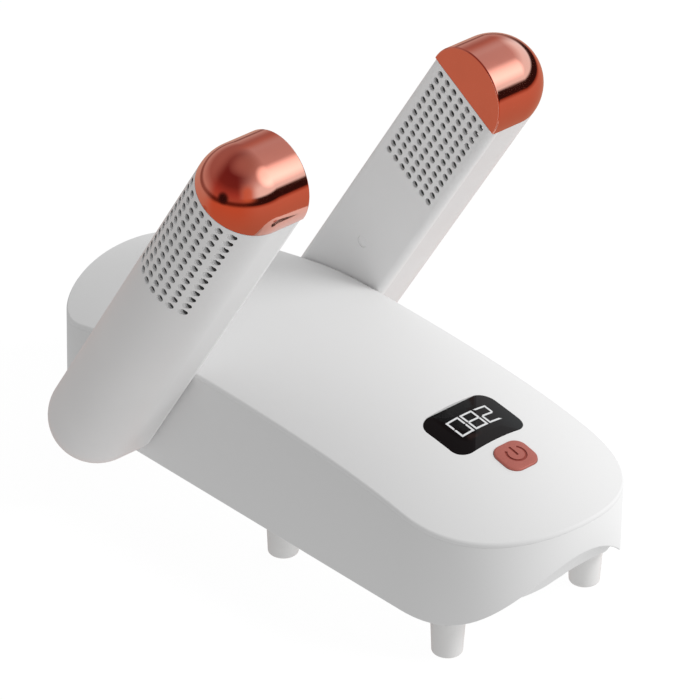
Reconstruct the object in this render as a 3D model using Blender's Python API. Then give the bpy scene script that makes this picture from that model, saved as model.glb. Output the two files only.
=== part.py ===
"""Boot dryer: a fan-heater base on short feet with two hinged, perforated drying arms.

Metres, +Z up. The origin is on the floor, under the middle of the base. The front of the
base, with the control panel, points to -Y. The arms turn about one cross-wise X axis.
"""

import math

import bmesh
import bpy
from mathutils import Matrix, Vector

# Fits
GAP = 0.0003
WALL = 0.0022
OVERSHOOT = 0.004

# Base body, in plan: straight sides and two superellipse ends
BODY_LENGTH = 0.259
BODY_HALF_WIDTH = 0.0475
FRONT_END = 0.0483
FRONT_POWER = 2.07
REAR_END = 0.0285
REAR_POWER = 2.18
FRONT_Y = -BODY_LENGTH / 2
REAR_Y = BODY_LENGTH / 2
FRONT_START = FRONT_Y + FRONT_END
REAR_START = REAR_Y - REAR_END
SIDE_STEPS = 6
END_STEPS = 16

# Deck: crowned across, falling towards both ends
UNDERSIDE = 0.0157
DECK_EDGE = 0.0701
DECK_CROWN = 0.0133
FRONT_FALL = 0.44
FRONT_BREAK = -0.0886
FRONT_BLEND = 0.0597
REAR_FALL = 0.217
REAR_BREAK = 0.0564
REAR_BLEND = 0.015
CREASE_RADIUS = 0.0008
ROUND_SHARE = 0.3
DECK_SCALES = (0.0, 0.3, 0.6, 0.85, 1.0)
SKIRT_DEPTH = 0.0018
TONGUE_DEPTH = 0.0068
TONGUE_THICKNESS = 0.0015

# Arch in the lower edge of the front, and the bow of the tray behind it
ARCH_HEIGHT = 0.0285
ARCH_POWER = 1.7
ARCH_END_Y = -0.075
ARCH_BLEND = 0.020
BOW_START = 0.45
BOW_END_Y = -0.103
BOW_BLEND = 0.008
BOW_SCALES = (0.3, 0.45, 0.53, 0.61, 0.69, 0.77, 0.85, 0.93)
TRAY_RIM = 0.006
TRAY_EDGE_RADIUS = 0.002

# Feet
FOOT_X = 0.0362
FOOT_YS = {"front": -0.0956, "middle": -0.0047, "rear": 0.100}
FOOT_BOTTOM_RADIUS = 0.0060
FOOT_TOP_RADIUS = 0.0068
FOOT_EDGE_RADIUS = 0.0011
FOOT_STUD_RADIUS = 0.0028
FOOT_STUD_LENGTH = 0.0037

# Arms, measured along each arm from its hinge axis
PIVOT_Y = 0.0727
PIVOT_Z = 0.0371
ARM_TILT = math.radians(31.9)
ARM_RADIUS = 0.019
ARM_SIDE_DEPTH = 0.0150
ARM_DOME_DEPTH = 0.0195
ARM_LENGTH = 0.1580
ARM_SEAM = 0.1574
ARM_INNER_X = 0.0481
ARM_WALL = 0.002
PLATE_EDGE_RADIUS = 0.0028
PLATE_RIM = 0.0035
ARM_TONGUE = 0.0062
ARM_TONGUE_THICKNESS = 0.0014
ARM_END_STEPS = 16
ARM_CURVE_STEPS = 6
PLUG_RADIUS = 0.0024
PLUG_ALONG_ARM = 0.0555
PLUG_THICKNESS = 0.0009
PLUG_DEPTH = 0.0002

# Air holes near the arm tips
SLOT_WIDTH = 0.0024
SLOTS = 7
SLOT_PITCH = 0.00435
FIRST_ROW = 0.0035
ROW_PITCH = 0.00427
ROWS = 13

# Hinge: a hollow spigot through the side wall of the base
SPIGOT_RADIUS = 0.0097
SPIGOT_BORE = 0.008
SPIGOT_FLANGE_RADIUS = 0.014
SPIGOT_GROOVE_RADIUS = 0.009
SPIGOT_FLANGE_THICKNESS = 0.0019
SPIGOT_LIP = 0.0015
GROOVE_WIDTH = 0.0020
WASHER_RADIUS = 0.0140
WASHER_THICKNESS = 0.0008
SEAL_RADIUS = 0.0120
RETAINING_RADIUS = 0.0130

# Control panel
DISPLAY_Y = -0.0693
DISPLAY_WIDTH = 0.0350
DISPLAY_LENGTH = 0.0244
DISPLAY_CORNER = 0.0058
DISPLAY_THICKNESS = 0.0018
DISPLAY_RISE = 0.0001
MODULE_HALF_WIDTH = 0.0140
MODULE_HALF_LENGTH = 0.0095
MODULE_BOTTOM = -0.0082
MODULE_TOP = -0.0044
BUTTON_Y = -0.0922
BUTTON_WIDTH = 0.0150
BUTTON_LENGTH = 0.0144
BUTTON_CORNER = 0.0050
BUTTON_TRAVEL = 0.0008
BUTTON_SKIRT = 0.0032
BUTTON_DEPTH = 0.0044
BUTTON_FLANGE = 0.0010
BUTTON_CROWN = ((0.0, 0.0009), (0.55, 0.0008), (0.88, 0.0005), (1.0, 0.0))
CORNER_STEPS = 5
BOARD_DEPTH = 0.0092
BOARD_THICKNESS = 0.0016
BOARD_HALF_WIDTH = 0.0200
BOARD_FRONT = -0.0220
BOARD_REAR = 0.0240

# Air path
BLOWER_Y = -0.005
SCROLL_BOTTOM = 0.0225
SCROLL_TOP = 0.0465
SCROLL_RADIUS = 0.0265
SCROLL_GROWTH = 0.30
EYE_RADIUS = 0.016
LID_BORE = 0.006
MOTOR_RADIUS = 0.0110
MOTOR_HEIGHT = 0.0160
FILTER_RADIUS = 0.0215
FILTER_BORE = 0.0030
SHAFT_RADIUS = 0.0015
SHAFT_BORE = 0.0018
IMPELLER_RADIUS = 0.0205
IMPELLER_DISC = 0.0014
IMPELLER_HUB_RADIUS = 0.0050
IMPELLER_HUB_LENGTH = 0.0060
BLADES = 12
BLADE_CHORD = 0.0040
BLADE_THICKNESS = 0.0008
BLADE_LEAN = math.radians(35)
GRILLE_SLOTS = 7
GRILLE_PITCH = 0.0052
GRILLE_SLOT_WIDTH = 0.0028
GRILLE_RADIUS = 0.0190
THIN_WALL = 0.0016
DUCT_BOTTOM = SCROLL_BOTTOM
DUCT_TOP = 0.0505
HEATER_FRONT = 0.0330
HEATER_FINS = 9
FIN_THICKNESS = 0.0008
FIN_HEIGHT = 0.0180
CORE_THICKNESS = 0.0030
CORE_MARGIN = 0.004
FIN_MARGIN = 0.005
MANIFOLD_FRONT = PIVOT_Y - 0.0145
MANIFOLD_REAR = PIVOT_Y + 0.0145
MANIFOLD_HALF_WIDTH = 0.0410

# Power inlet and screws
INLET_HALF_WIDTH = 0.0100
INLET_BOTTOM = 0.0250
INLET_TOP = 0.0370
INLET_LENGTH = 0.0220
INLET_FACE_Y = REAR_Y - 0.0008
CAVITY_WIDTH = 0.0150
CAVITY_HEIGHT = 0.0080
CAVITY_CORNER = 0.0025
CAVITY_DEPTH = 0.0120
PIN_RADIUS = 0.0011
PIN_X = 0.0043
PIN_TAIL = 0.0020
PIN_TIP = 0.0020
POST_RADIUS = 0.0036
SCREW_RADIUS = 0.0012
SCREW_HEAD_RADIUS = 0.0028
SCREW_HEAD_HEIGHT = 0.0020
SCREW_HOLE_RADIUS = 0.0015
SCREW_TIP_Z = 0.0300
SCREW_HOLE_TOP = 0.0320
POSTS = {
    "front_left": (-0.030, -0.066),
    "front_right": (0.030, -0.066),
    "rear_left": (-0.022, 0.108),
    "rear_right": (0.022, 0.108),
}


# ---------------------------------------------------------------- materials


def finish(name, colour, roughness, metallic=0.0):
    material = bpy.data.materials.new(name)
    material.use_nodes = True
    shader = material.node_tree.nodes["Principled BSDF"]
    shader.inputs["Base Color"].default_value = (*colour, 1.0)
    shader.inputs["Roughness"].default_value = roughness
    shader.inputs["Metallic"].default_value = metallic
    return material


def make_finishes():
    return {
        "white_shell": finish("white_shell", (0.80, 0.80, 0.80), 0.42),
        "white_arm": finish("white_arm", (0.78, 0.78, 0.78), 0.45),
        "copper": finish("copper", (0.72, 0.25, 0.16), 0.12, 1.0),
        "button_red": finish("button_red", (0.52, 0.15, 0.12), 0.5),
        "black_glass": finish("black_glass", (0.006, 0.006, 0.007), 0.08),
        "dark_plastic": finish("dark_plastic", (0.03, 0.03, 0.035), 0.5),
        "grey_plastic": finish("grey_plastic", (0.45, 0.46, 0.47), 0.5),
        "rubber": finish("rubber", (0.05, 0.05, 0.05), 0.8),
        "white_rubber": finish("white_rubber", (0.78, 0.78, 0.77), 0.6),
        "steel": finish("steel", (0.60, 0.60, 0.61), 0.3, 1.0),
        "brass": finish("brass", (0.70, 0.52, 0.25), 0.3, 1.0),
        "board_green": finish("board_green", (0.02, 0.16, 0.06), 0.5),
        "ceramic": finish("ceramic", (0.70, 0.66, 0.58), 0.8),
        "foam": finish("foam", (0.12, 0.12, 0.13), 0.95),
    }


# ------------------------------------------------------------ mesh builders


def add_object(name, mesh, material=None, parent=None):
    part = bpy.data.objects.new(name, mesh)
    bpy.context.scene.collection.objects.link(part)
    if material:
        mesh.materials.append(material)
    if parent:
        part.parent = parent
    return part


def add_pivot(name, location, rotation=(0.0, 0.0, 0.0)):
    pivot = bpy.data.objects.new(name, None)
    bpy.context.scene.collection.objects.link(pivot)
    pivot.location = location
    pivot.rotation_euler = rotation
    return pivot


def mesh_from(name, shape, sharp_angle=35.0):
    """Turn a bmesh into a mesh with merged points, outward faces and smooth round faces."""
    bmesh.ops.remove_doubles(shape, verts=shape.verts, dist=1e-6)
    bmesh.ops.dissolve_degenerate(shape, edges=shape.edges, dist=1e-7)
    bmesh.ops.recalc_face_normals(shape, faces=shape.faces)
    mesh = bpy.data.meshes.new(name)
    shape.to_mesh(mesh)
    shape.free()
    mesh.shade_smooth()
    mesh.set_sharp_from_angle(angle=math.radians(sharp_angle))
    return mesh


def skin(rings, hoop=False):
    """A bmesh over a list of closed rings. A hoop joins its last ring to its first one."""
    shape = bmesh.new()
    rows = [[shape.verts.new(point) for point in ring] for ring in rings]
    pairs = list(zip(rows, rows[1:]))
    if hoop:
        pairs.append((rows[-1], rows[0]))
    count = len(rings[0])
    for low, high in pairs:
        for i in range(count):
            j = (i + 1) % count
            shape.faces.new((low[i], low[j], high[j], high[i]))
    return shape


def loft(name, rings, hoop=False):
    return mesh_from(name, skin(rings, hoop))


def prism(name, outline, bottom, top, transform=None):
    """Extrude a plan outline between two heights, optionally moved by a matrix."""
    shape = skin([[Vector((x, y, height)) for x, y in outline] for height in (bottom, top)])
    bmesh.ops.holes_fill(shape, edges=shape.edges)
    if transform:
        bmesh.ops.transform(shape, matrix=transform, verts=shape.verts)
    return mesh_from(name, shape)


def box_into(shape, low, high, transform=None):
    """Add an axis-aligned box to a bmesh, optionally moved by a matrix."""
    centre = (Vector(low) + Vector(high)) / 2
    size = Vector(high) - Vector(low)
    matrix = Matrix.Translation(centre) @ Matrix.Diagonal((*size, 1.0))
    if transform:
        matrix = transform @ matrix
    bmesh.ops.create_cube(shape, size=1.0, matrix=matrix)


def box_mesh(name, low, high):
    shape = bmesh.new()
    box_into(shape, low, high)
    return mesh_from(name, shape)


def circle(radius, height, steps, centre=(0.0, 0.0)):
    return [
        Vector((centre[0] + radius * math.cos(angle), centre[1] + radius * math.sin(angle), height))
        for angle in (2 * math.pi * (i + 0.5) / steps for i in range(steps))
    ]


def turned(name, profile, steps=24, hoop=False, centre=(0.0, 0.0), axis="Z", offset=(0.0, 0.0, 0.0)):
    """Turn a (radius, height) profile about Z, then swing it onto X or Y if asked."""
    shape = skin([circle(radius, height, steps, centre) for radius, height in profile], hoop)
    swing = {
        "Z": Matrix.Identity(4),
        "X": Matrix.Rotation(math.radians(90), 4, "Y"),
        "-X": Matrix.Rotation(math.radians(-90), 4, "Y"),
        "Y": Matrix.Rotation(math.radians(-90), 4, "X"),
    }[axis]
    bmesh.ops.transform(shape, matrix=Matrix.Translation(offset) @ swing, verts=shape.verts)
    return mesh_from(name, shape)


def rod(name, radius, low, high, steps=24, **placing):
    """A plain solid cylinder."""
    return turned(name, [(0.0, low), (radius, low), (radius, high), (0.0, high)], steps, **placing)


def tube(name, inner, outer, low, high, steps=24, **placing):
    """A cylinder with a bore."""
    profile = [(inner, low), (outer, low), (outer, high), (inner, high)]
    return turned(name, profile, steps, hoop=True, **placing)


def use_boolean(part, tool, operation):
    step = part.modifiers.new(operation.lower(), "BOOLEAN")
    step.operation = operation
    step.solver = "EXACT"
    step.object = tool
    tool.hide_render = True
    tool.display_type = "WIRE"


def cut(part, name, mesh, parent=None):
    use_boolean(part, add_object(f"cutter_{name}", mesh, parent=parent), "DIFFERENCE")


def join(part, name, mesh, parent=None):
    use_boolean(part, add_object(f"joined_{name}", mesh, parent=parent), "UNION")


# ------------------------------------------------------- base body surfaces


def ramp(distance, blend):
    """Zero before the start, the distance itself well after it, and smooth between."""
    return (distance + math.hypot(distance, blend)) / 2


def deck_height(x, y):
    crown = DECK_CROWN * (1 - (x / BODY_HALF_WIDTH) ** 2)
    front = FRONT_FALL * ramp(FRONT_BREAK - y, FRONT_BLEND)
    rear = REAR_FALL * ramp(y - REAR_BREAK, REAR_BLEND)
    return DECK_EDGE + crown - front - rear


def smooth(share):
    """A smooth step from 0 to 1."""
    share = min(1.0, max(0.0, share))
    return share * share * (3 - 2 * share)


def arch_lift(x, y):
    """How far the front arch raises the lower edge."""
    across = max(0.0, 1 - (x / BODY_HALF_WIDTH) ** 2) ** ARCH_POWER
    return ARCH_HEIGHT * across * smooth((ARCH_END_Y - y) / ARCH_BLEND)


def lower_edge(x, y):
    return UNDERSIDE + arch_lift(x, y)


def tray_floor(x, y):
    """The underside of the tray: flat between the feet, then up to the arch like a bow."""
    across = abs(x / BODY_HALF_WIDTH) ** FRONT_POWER
    along = max(0.0, (FRONT_START - y) / FRONT_END) ** FRONT_POWER
    reach = (across + along) ** (1 / FRONT_POWER)
    bow = smooth((reach - BOW_START) / (1 - BOW_START)) * smooth((BOW_END_Y - y) / BOW_BLEND)
    return UNDERSIDE + GAP + arch_lift(x, y) * bow


def round_end(start, depth, power, facing):
    """Plan points of one superellipse end, anticlockwise; facing is +1 at the rear."""
    points = []
    for i in range(END_STEPS + 1):
        angle = math.pi * i / END_STEPS
        across = math.copysign(abs(math.cos(angle)) ** (2 / power), math.cos(angle))
        along = abs(math.sin(angle)) ** (2 / power)
        points.append((facing * BODY_HALF_WIDTH * across, start + facing * depth * along))
    return points


def body_outline(inset=0.0):
    """The plan outline of the base, anticlockwise, moved inwards by inset."""
    points = round_end(REAR_START, REAR_END, REAR_POWER, 1)
    side = [
        REAR_START + (FRONT_START - REAR_START) * i / SIDE_STEPS for i in range(1, SIDE_STEPS)
    ]
    points += [(-BODY_HALF_WIDTH, y) for y in side]
    points += round_end(FRONT_START, FRONT_END, FRONT_POWER, -1)
    points += [(BODY_HALF_WIDTH, y) for y in reversed(side)]
    moved = []
    for i, (x, y) in enumerate(points):
        before = Vector(points[i - 1])
        after = Vector(points[(i + 1) % len(points)])
        run = (after - before).normalized()
        moved.append((x - inset * run.y, y + inset * run.x))
    return moved


def body_ring(surface, inset, lift, scale=1.0):
    """A ring on a height surface. Scale below one shrinks it towards the long centre line."""
    ring = []
    for x, y in body_outline(inset):
        spine = min(max(y, FRONT_START), REAR_START)
        x, y = x * scale, spine + (y - spine) * scale
        ring.append(Vector((x, y, surface(x, y) + lift)))
    return ring


def rounded_rectangle(width, length, radius, centre=(0.0, 0.0)):
    """Plan points of a rectangle with round corners, anticlockwise."""
    points = []
    corners = ((1, 1, 0), (-1, 1, 90), (-1, -1, 180), (1, -1, 270))
    for right, up, start in corners:
        x = centre[0] + right * (width / 2 - radius)
        y = centre[1] + up * (length / 2 - radius)
        for i in range(CORNER_STEPS + 1):
            angle = math.radians(start + 90 * i / CORNER_STEPS)
            points.append((x + radius * math.cos(angle), y + radius * math.sin(angle)))
    return points


def shrink(outline, centre, scale):
    return [(centre[0] + (x - centre[0]) * scale, centre[1] + (y - centre[1]) * scale) for x, y in outline]


def deck_pad(name, grow, rise, depth):
    """The display's outline, grown a little, from rise above the deck to depth below it."""
    centre = (0.0, DISPLAY_Y)
    width, length = DISPLAY_WIDTH + 2 * grow, DISPLAY_LENGTH + 2 * grow
    outline = rounded_rectangle(width, length, DISPLAY_CORNER + grow, centre)
    rings = []
    for scale, lift in ((0.0, rise), (0.5, rise), (1.0, rise), (1.0, -depth), (0.0, -depth)):
        ring = shrink(outline, centre, scale)
        rings.append([Vector((x, y, deck_height(x, y) + lift)) for x, y in ring])
    return loft(name, rings)


def deck_frame(name, y):
    """A pivot on the deck's centre line, its Z along the deck's normal."""
    step = 0.001
    slope = (deck_height(0.0, y + step) - deck_height(0.0, y - step)) / (2 * step)
    return add_pivot(name, (0.0, y, deck_height(0.0, y)), (math.atan(slope), 0.0, 0.0))


# ------------------------------------------------------------- base casings


def make_housing(finishes):
    """The wall all round the base, open above and below."""

    def cover_line(x, y):
        return deck_height(x, y) - SKIRT_DEPTH - GAP

    edge = 0.0008
    rings = [
        body_ring(lower_edge, edge, 0.0),
        body_ring(lower_edge, 0.0, edge),
        body_ring(cover_line, 0.0, 0.0),
        body_ring(cover_line, WALL, 0.0),
        body_ring(lower_edge, WALL, 0.0),
    ]
    housing = add_object("housing", loft("housing", rings, hoop=True), finishes["white_shell"])
    for side, name in ((-1, "left"), (1, "right")):
        hole = rod(
            "hinge_hole",
            SPIGOT_RADIUS + GAP,
            side * (BODY_HALF_WIDTH - 2 * WALL),
            side * (BODY_HALF_WIDTH + OVERSHOOT),
            axis="X",
            offset=(0.0, PIVOT_Y, PIVOT_Z),
        )
        cut(housing, f"{name}_hinge_hole", hole)
    slot = box_mesh(
        "inlet_hole",
        (-INLET_HALF_WIDTH - GAP, REAR_Y - 3 * WALL, INLET_BOTTOM - GAP),
        (INLET_HALF_WIDTH + GAP, REAR_Y + OVERSHOOT, INLET_TOP + GAP),
    )
    cut(housing, "inlet_hole", slot)


def make_top_cover(finishes):
    """The crowned deck, its skirt and tongue, and four screw posts."""
    tongue = WALL + GAP
    middle = ROUND_SHARE * CREASE_RADIUS
    rings = [body_ring(deck_height, CREASE_RADIUS, 0.0, scale) for scale in DECK_SCALES]
    rings += [
        body_ring(deck_height, middle, -middle),
        body_ring(deck_height, 0.0, -CREASE_RADIUS),
        body_ring(deck_height, 0.0, -SKIRT_DEPTH),
        body_ring(deck_height, tongue, -SKIRT_DEPTH),
        body_ring(deck_height, tongue, -TONGUE_DEPTH),
        body_ring(deck_height, tongue + TONGUE_THICKNESS, -TONGUE_DEPTH),
    ]
    rings += [
        body_ring(deck_height, tongue + TONGUE_THICKNESS, -WALL, scale)
        for scale in reversed(DECK_SCALES)
    ]
    cover = add_object("top_cover", loft("top_cover", rings), finishes["white_shell"])
    floor_top = UNDERSIDE + WALL + 2 * GAP
    for name, (x, y) in POSTS.items():
        top = deck_height(x, y) - WALL / 2
        post = rod("post", POST_RADIUS, floor_top, top, 12, centre=(x, y))
        join(cover, f"{name}_post", post)
        low = floor_top - OVERSHOOT
        hole = rod("screw_hole", SCREW_HOLE_RADIUS, low, SCREW_HOLE_TOP, 10, centre=(x, y))
        cut(cover, f"{name}_screw_hole", hole)
    cut(cover, "window_hole", deck_pad("window_hole", GAP, OVERSHOOT, 2 * WALL))
    button_hole = prism("button_hole", button_outline(GAP), -2 * WALL, OVERSHOOT)
    cut(cover, "button_hole", button_hole, deck_frame("button_hole_frame", BUTTON_Y))


def make_base_tray(finishes):
    """The floor of the base: a bow and an upturned rim behind the arch, grille and foot holes."""
    inset = WALL + 2 * GAP
    inner = inset + WALL
    middle = ROUND_SHARE * TRAY_EDGE_RADIUS
    scales = (0.0, *BOW_SCALES, 1.0)
    rings = [body_ring(tray_floor, inset + TRAY_EDGE_RADIUS, 0.0, scale) for scale in scales]
    rings += [
        body_ring(tray_floor, inset + middle, middle),
        body_ring(tray_floor, inset, TRAY_EDGE_RADIUS),
        body_ring(tray_floor, inset, TRAY_RIM),
        body_ring(tray_floor, inner, TRAY_RIM),
    ]
    rings += [body_ring(tray_floor, inner, WALL, scale) for scale in reversed(scales)]
    tray = add_object("base_tray", loft("base_tray", rings), finishes["white_shell"])
    holes = bmesh.new()
    low, high = UNDERSIDE - OVERSHOOT, UNDERSIDE + WALL + OVERSHOOT
    for i in range(GRILLE_SLOTS):
        x = (i - (GRILLE_SLOTS - 1) / 2) * GRILLE_PITCH
        left, right = x - GRILLE_SLOT_WIDTH / 2, x + GRILLE_SLOT_WIDTH / 2
        half = math.sqrt(GRILLE_RADIUS**2 - x**2)
        box_into(holes, (left, BLOWER_Y - half, low), (right, BLOWER_Y + half, high))
    cut(tray, "intake_slots", mesh_from("intake_slots", holes))
    for name, (x, y) in POSTS.items():
        hole = rod("tray_hole", SCREW_HOLE_RADIUS, low, high, 10, centre=(x, y))
        cut(tray, f"{name}_tray_hole", hole)
    for row, y in FOOT_YS.items():
        for side in (-1, 1):
            stud = rod(
                "foot_hole", FOOT_STUD_RADIUS + GAP, low, high, 12, centre=(side * FOOT_X, y)
            )
            cut(tray, f"{row}_{side}_foot_hole", stud)


def make_feet(finishes):
    top = UNDERSIDE
    stud_top = UNDERSIDE + FOOT_STUD_LENGTH
    middle = ROUND_SHARE * FOOT_EDGE_RADIUS
    profile = [
        (0.0, 0.0),
        (FOOT_BOTTOM_RADIUS - FOOT_EDGE_RADIUS, 0.0),
        (FOOT_BOTTOM_RADIUS - middle, middle),
        (FOOT_BOTTOM_RADIUS, FOOT_EDGE_RADIUS),
        (FOOT_TOP_RADIUS, top),
        (FOOT_STUD_RADIUS, top),
        (FOOT_STUD_RADIUS, stud_top),
        (0.0, stud_top),
    ]
    mesh = turned("foot", profile, 16)
    mesh.materials.append(finishes["white_rubber"])
    for row, y in FOOT_YS.items():
        for side, name in ((-1, "left"), (1, "right")):
            foot = add_object(f"foot_{row}_{name}", mesh)
            foot.location = (side * FOOT_X, y, 0.0)


def make_tray_screws(finishes):
    head_top = UNDERSIDE
    head_bottom = head_top - SCREW_HEAD_HEIGHT
    edge = 0.0008
    profile = [
        (0.0, head_bottom),
        (SCREW_HEAD_RADIUS - edge, head_bottom),
        (SCREW_HEAD_RADIUS, head_bottom + edge),
        (SCREW_HEAD_RADIUS, head_top),
        (SCREW_RADIUS, head_top),
        (SCREW_RADIUS, SCREW_TIP_Z - SCREW_RADIUS),
        (0.0, SCREW_TIP_Z),
    ]
    mesh = turned("tray_screw", profile, 12)
    mesh.materials.append(finishes["steel"])
    for name, (x, y) in POSTS.items():
        screw = add_object(f"tray_screw_{name}", mesh)
        screw.location = (x, y, 0.0)


# ------------------------------------------------------------- control panel


def make_display(finishes):
    window = deck_pad("display_window", 0.0, DISPLAY_RISE, DISPLAY_THICKNESS)
    add_object("display_window", window, finishes["black_glass"])
    frame = deck_frame("display_frame", DISPLAY_Y)
    low = (-MODULE_HALF_WIDTH, -MODULE_HALF_LENGTH, MODULE_BOTTOM)
    high = (MODULE_HALF_WIDTH, MODULE_HALF_LENGTH, MODULE_TOP)
    module = box_mesh("display_module", low, high)
    add_object("display_module", module, finishes["dark_plastic"], frame)


def button_outline(grow):
    width, length = BUTTON_WIDTH + 2 * grow, BUTTON_LENGTH + 2 * grow
    return rounded_rectangle(width, length, BUTTON_CORNER + grow)


def make_button(finishes):
    """The power button, built at its rest place on the deck's normal."""
    frame = deck_frame("button_slide", BUTTON_Y)
    levels = [(scale, 0.0, height) for scale, height in BUTTON_CROWN]
    levels += [
        (1.0, 0.0, -BUTTON_SKIRT),
        (1.0, BUTTON_FLANGE, -BUTTON_SKIRT),
        (1.0, BUTTON_FLANGE, -BUTTON_DEPTH),
        (0.0, 0.0, -BUTTON_DEPTH),
    ]
    rings = []
    for scale, grow, height in levels:
        ring = shrink(button_outline(grow), (0.0, 0.0), scale)
        rings.append([Vector((x, y, height)) for x, y in ring])
    mesh = loft("power_button", rings)
    add_object("power_button", mesh, finishes["button_red"], frame)


def make_control_board(finishes):
    """A printed board under the panel, tilted with the deck, and the switch under the button."""
    frame = deck_frame("board_frame", (DISPLAY_Y + BUTTON_Y) / 2)
    low = (-BOARD_HALF_WIDTH, BOARD_FRONT, -BOARD_DEPTH - BOARD_THICKNESS)
    high = (BOARD_HALF_WIDTH, BOARD_REAR, -BOARD_DEPTH)
    add_object("control_board", box_mesh("control_board", low, high), finishes["board_green"], frame)
    case_radius, stem_radius = 0.0030, 0.0016
    bottom, shoulder = -0.0078, -0.0062
    top = -BUTTON_DEPTH - BUTTON_TRAVEL - GAP
    profile = [
        (0.0, bottom),
        (case_radius, bottom),
        (case_radius, shoulder),
        (stem_radius, shoulder),
        (stem_radius, top),
        (0.0, top),
    ]
    switch = turned("tact_switch", profile, 12)
    add_object("tact_switch", switch, finishes["dark_plastic"], deck_frame("switch_frame", BUTTON_Y))


# ------------------------------------------------------------------ air path


def outlet_sides(inset):
    """The left and right X of the blower outlet, moved inwards by inset."""
    return inset, SCROLL_RADIUS * (1 + SCROLL_GROWTH) - inset


def scroll_outline(inset):
    """A volute that grows once round, then runs straight to its outlet at the rear."""
    steps = 30
    points = []
    for i in range(steps + 1):
        angle = math.radians(90 + 270 * i / steps)
        radius = SCROLL_RADIUS * (1 + SCROLL_GROWTH * i / steps) - inset
        points.append((radius * math.cos(angle), BLOWER_Y + radius * math.sin(angle)))
    left, right = outlet_sides(inset)
    outlet_y = HEATER_FRONT - GAP
    points += [(right, outlet_y), (left, outlet_y), (left, points[0][1])]
    return points


def make_blower(finishes):
    scroll = add_object(
        "blower_scroll",
        prism("blower_scroll", scroll_outline(0.0), SCROLL_BOTTOM, SCROLL_TOP),
        finishes["grey_plastic"],
    )
    low = SCROLL_BOTTOM + THIN_WALL
    hollow = prism("hollow", scroll_outline(THIN_WALL), low, SCROLL_TOP + OVERSHOOT)
    cut(scroll, "scroll_hollow", hollow)
    centre = (0.0, BLOWER_Y)
    eye = rod("eye", EYE_RADIUS, SCROLL_BOTTOM - OVERSHOOT, low + OVERSHOOT / 2, centre=centre)
    cut(scroll, "scroll_eye", eye)
    left, right = outlet_sides(THIN_WALL)
    outlet = box_mesh(
        "outlet",
        (left, HEATER_FRONT - 3 * THIN_WALL, low),
        (right, HEATER_FRONT + OVERSHOOT, SCROLL_TOP + OVERSHOOT),
    )
    cut(scroll, "scroll_outlet", outlet)

    lid_low = SCROLL_TOP + GAP
    lid_high = lid_low + THIN_WALL
    lid_mesh = prism("blower_lid", scroll_outline(0.0), lid_low, lid_high)
    lid = add_object("blower_lid", lid_mesh, finishes["grey_plastic"])
    bore = rod("lid_bore", LID_BORE, lid_low - OVERSHOOT, lid_high + OVERSHOOT, centre=centre)
    cut(lid, "lid_bore", bore)

    motor_low = lid_high + GAP
    motor_high = motor_low + MOTOR_HEIGHT
    motor = tube("blower_motor", SHAFT_BORE, MOTOR_RADIUS, motor_low, motor_high, 20, centre=centre)
    add_object("blower_motor", motor, finishes["steel"])

    foam_low, foam_high = UNDERSIDE + WALL + 2 * GAP, SCROLL_BOTTOM - 4 * GAP
    foam = tube("intake_filter", FILTER_BORE, FILTER_RADIUS, foam_low, foam_high, 20, centre=centre)
    add_object("intake_filter", foam, finishes["foam"])
    return motor_high


def make_impeller(finishes, motor_high):
    """A drum impeller under the lid, and its shaft up into the motor."""
    axis = add_pivot("impeller_axis", (0.0, BLOWER_Y, 0.0))
    clearance, bite = 0.0010, 0.0005
    low = SCROLL_BOTTOM + THIN_WALL + clearance
    high = SCROLL_TOP - clearance
    disc = high - IMPELLER_DISC
    hub_low = disc - IMPELLER_HUB_LENGTH
    rim = IMPELLER_RADIUS - BLADE_CHORD
    impeller = add_object(
        "blower_impeller",
        tube("blower_impeller", SHAFT_BORE, IMPELLER_RADIUS, disc, high),
        finishes["dark_plastic"],
        axis,
    )
    hub = tube("hub", SHAFT_BORE, IMPELLER_HUB_RADIUS, hub_low, disc + bite, 12)
    join(impeller, "impeller_hub", hub, axis)
    blades = bmesh.new()
    outward = Matrix.Translation((IMPELLER_RADIUS - BLADE_CHORD / 2, 0.0, 0.0))
    lean = outward @ Matrix.Rotation(BLADE_LEAN, 4, "Z")
    corner = Vector((BLADE_CHORD / 2, BLADE_THICKNESS / 2, 0.0))
    for i in range(BLADES):
        turn = Matrix.Rotation(2 * math.pi * i / BLADES, 4, "Z")
        bottom, top = Vector((0.0, 0.0, low + bite)), Vector((0.0, 0.0, disc + bite))
        box_into(blades, bottom - corner, top + corner, turn @ lean)
    join(impeller, "impeller_blades", mesh_from("blades", blades), axis)
    ring = tube("ring", rim, IMPELLER_RADIUS, low, low + IMPELLER_DISC)
    join(impeller, "impeller_ring", ring, axis)
    shaft = rod("impeller_shaft", SHAFT_RADIUS, hub_low, motor_high - clearance, 12)
    add_object("impeller_shaft", shaft, finishes["steel"], axis)


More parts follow.
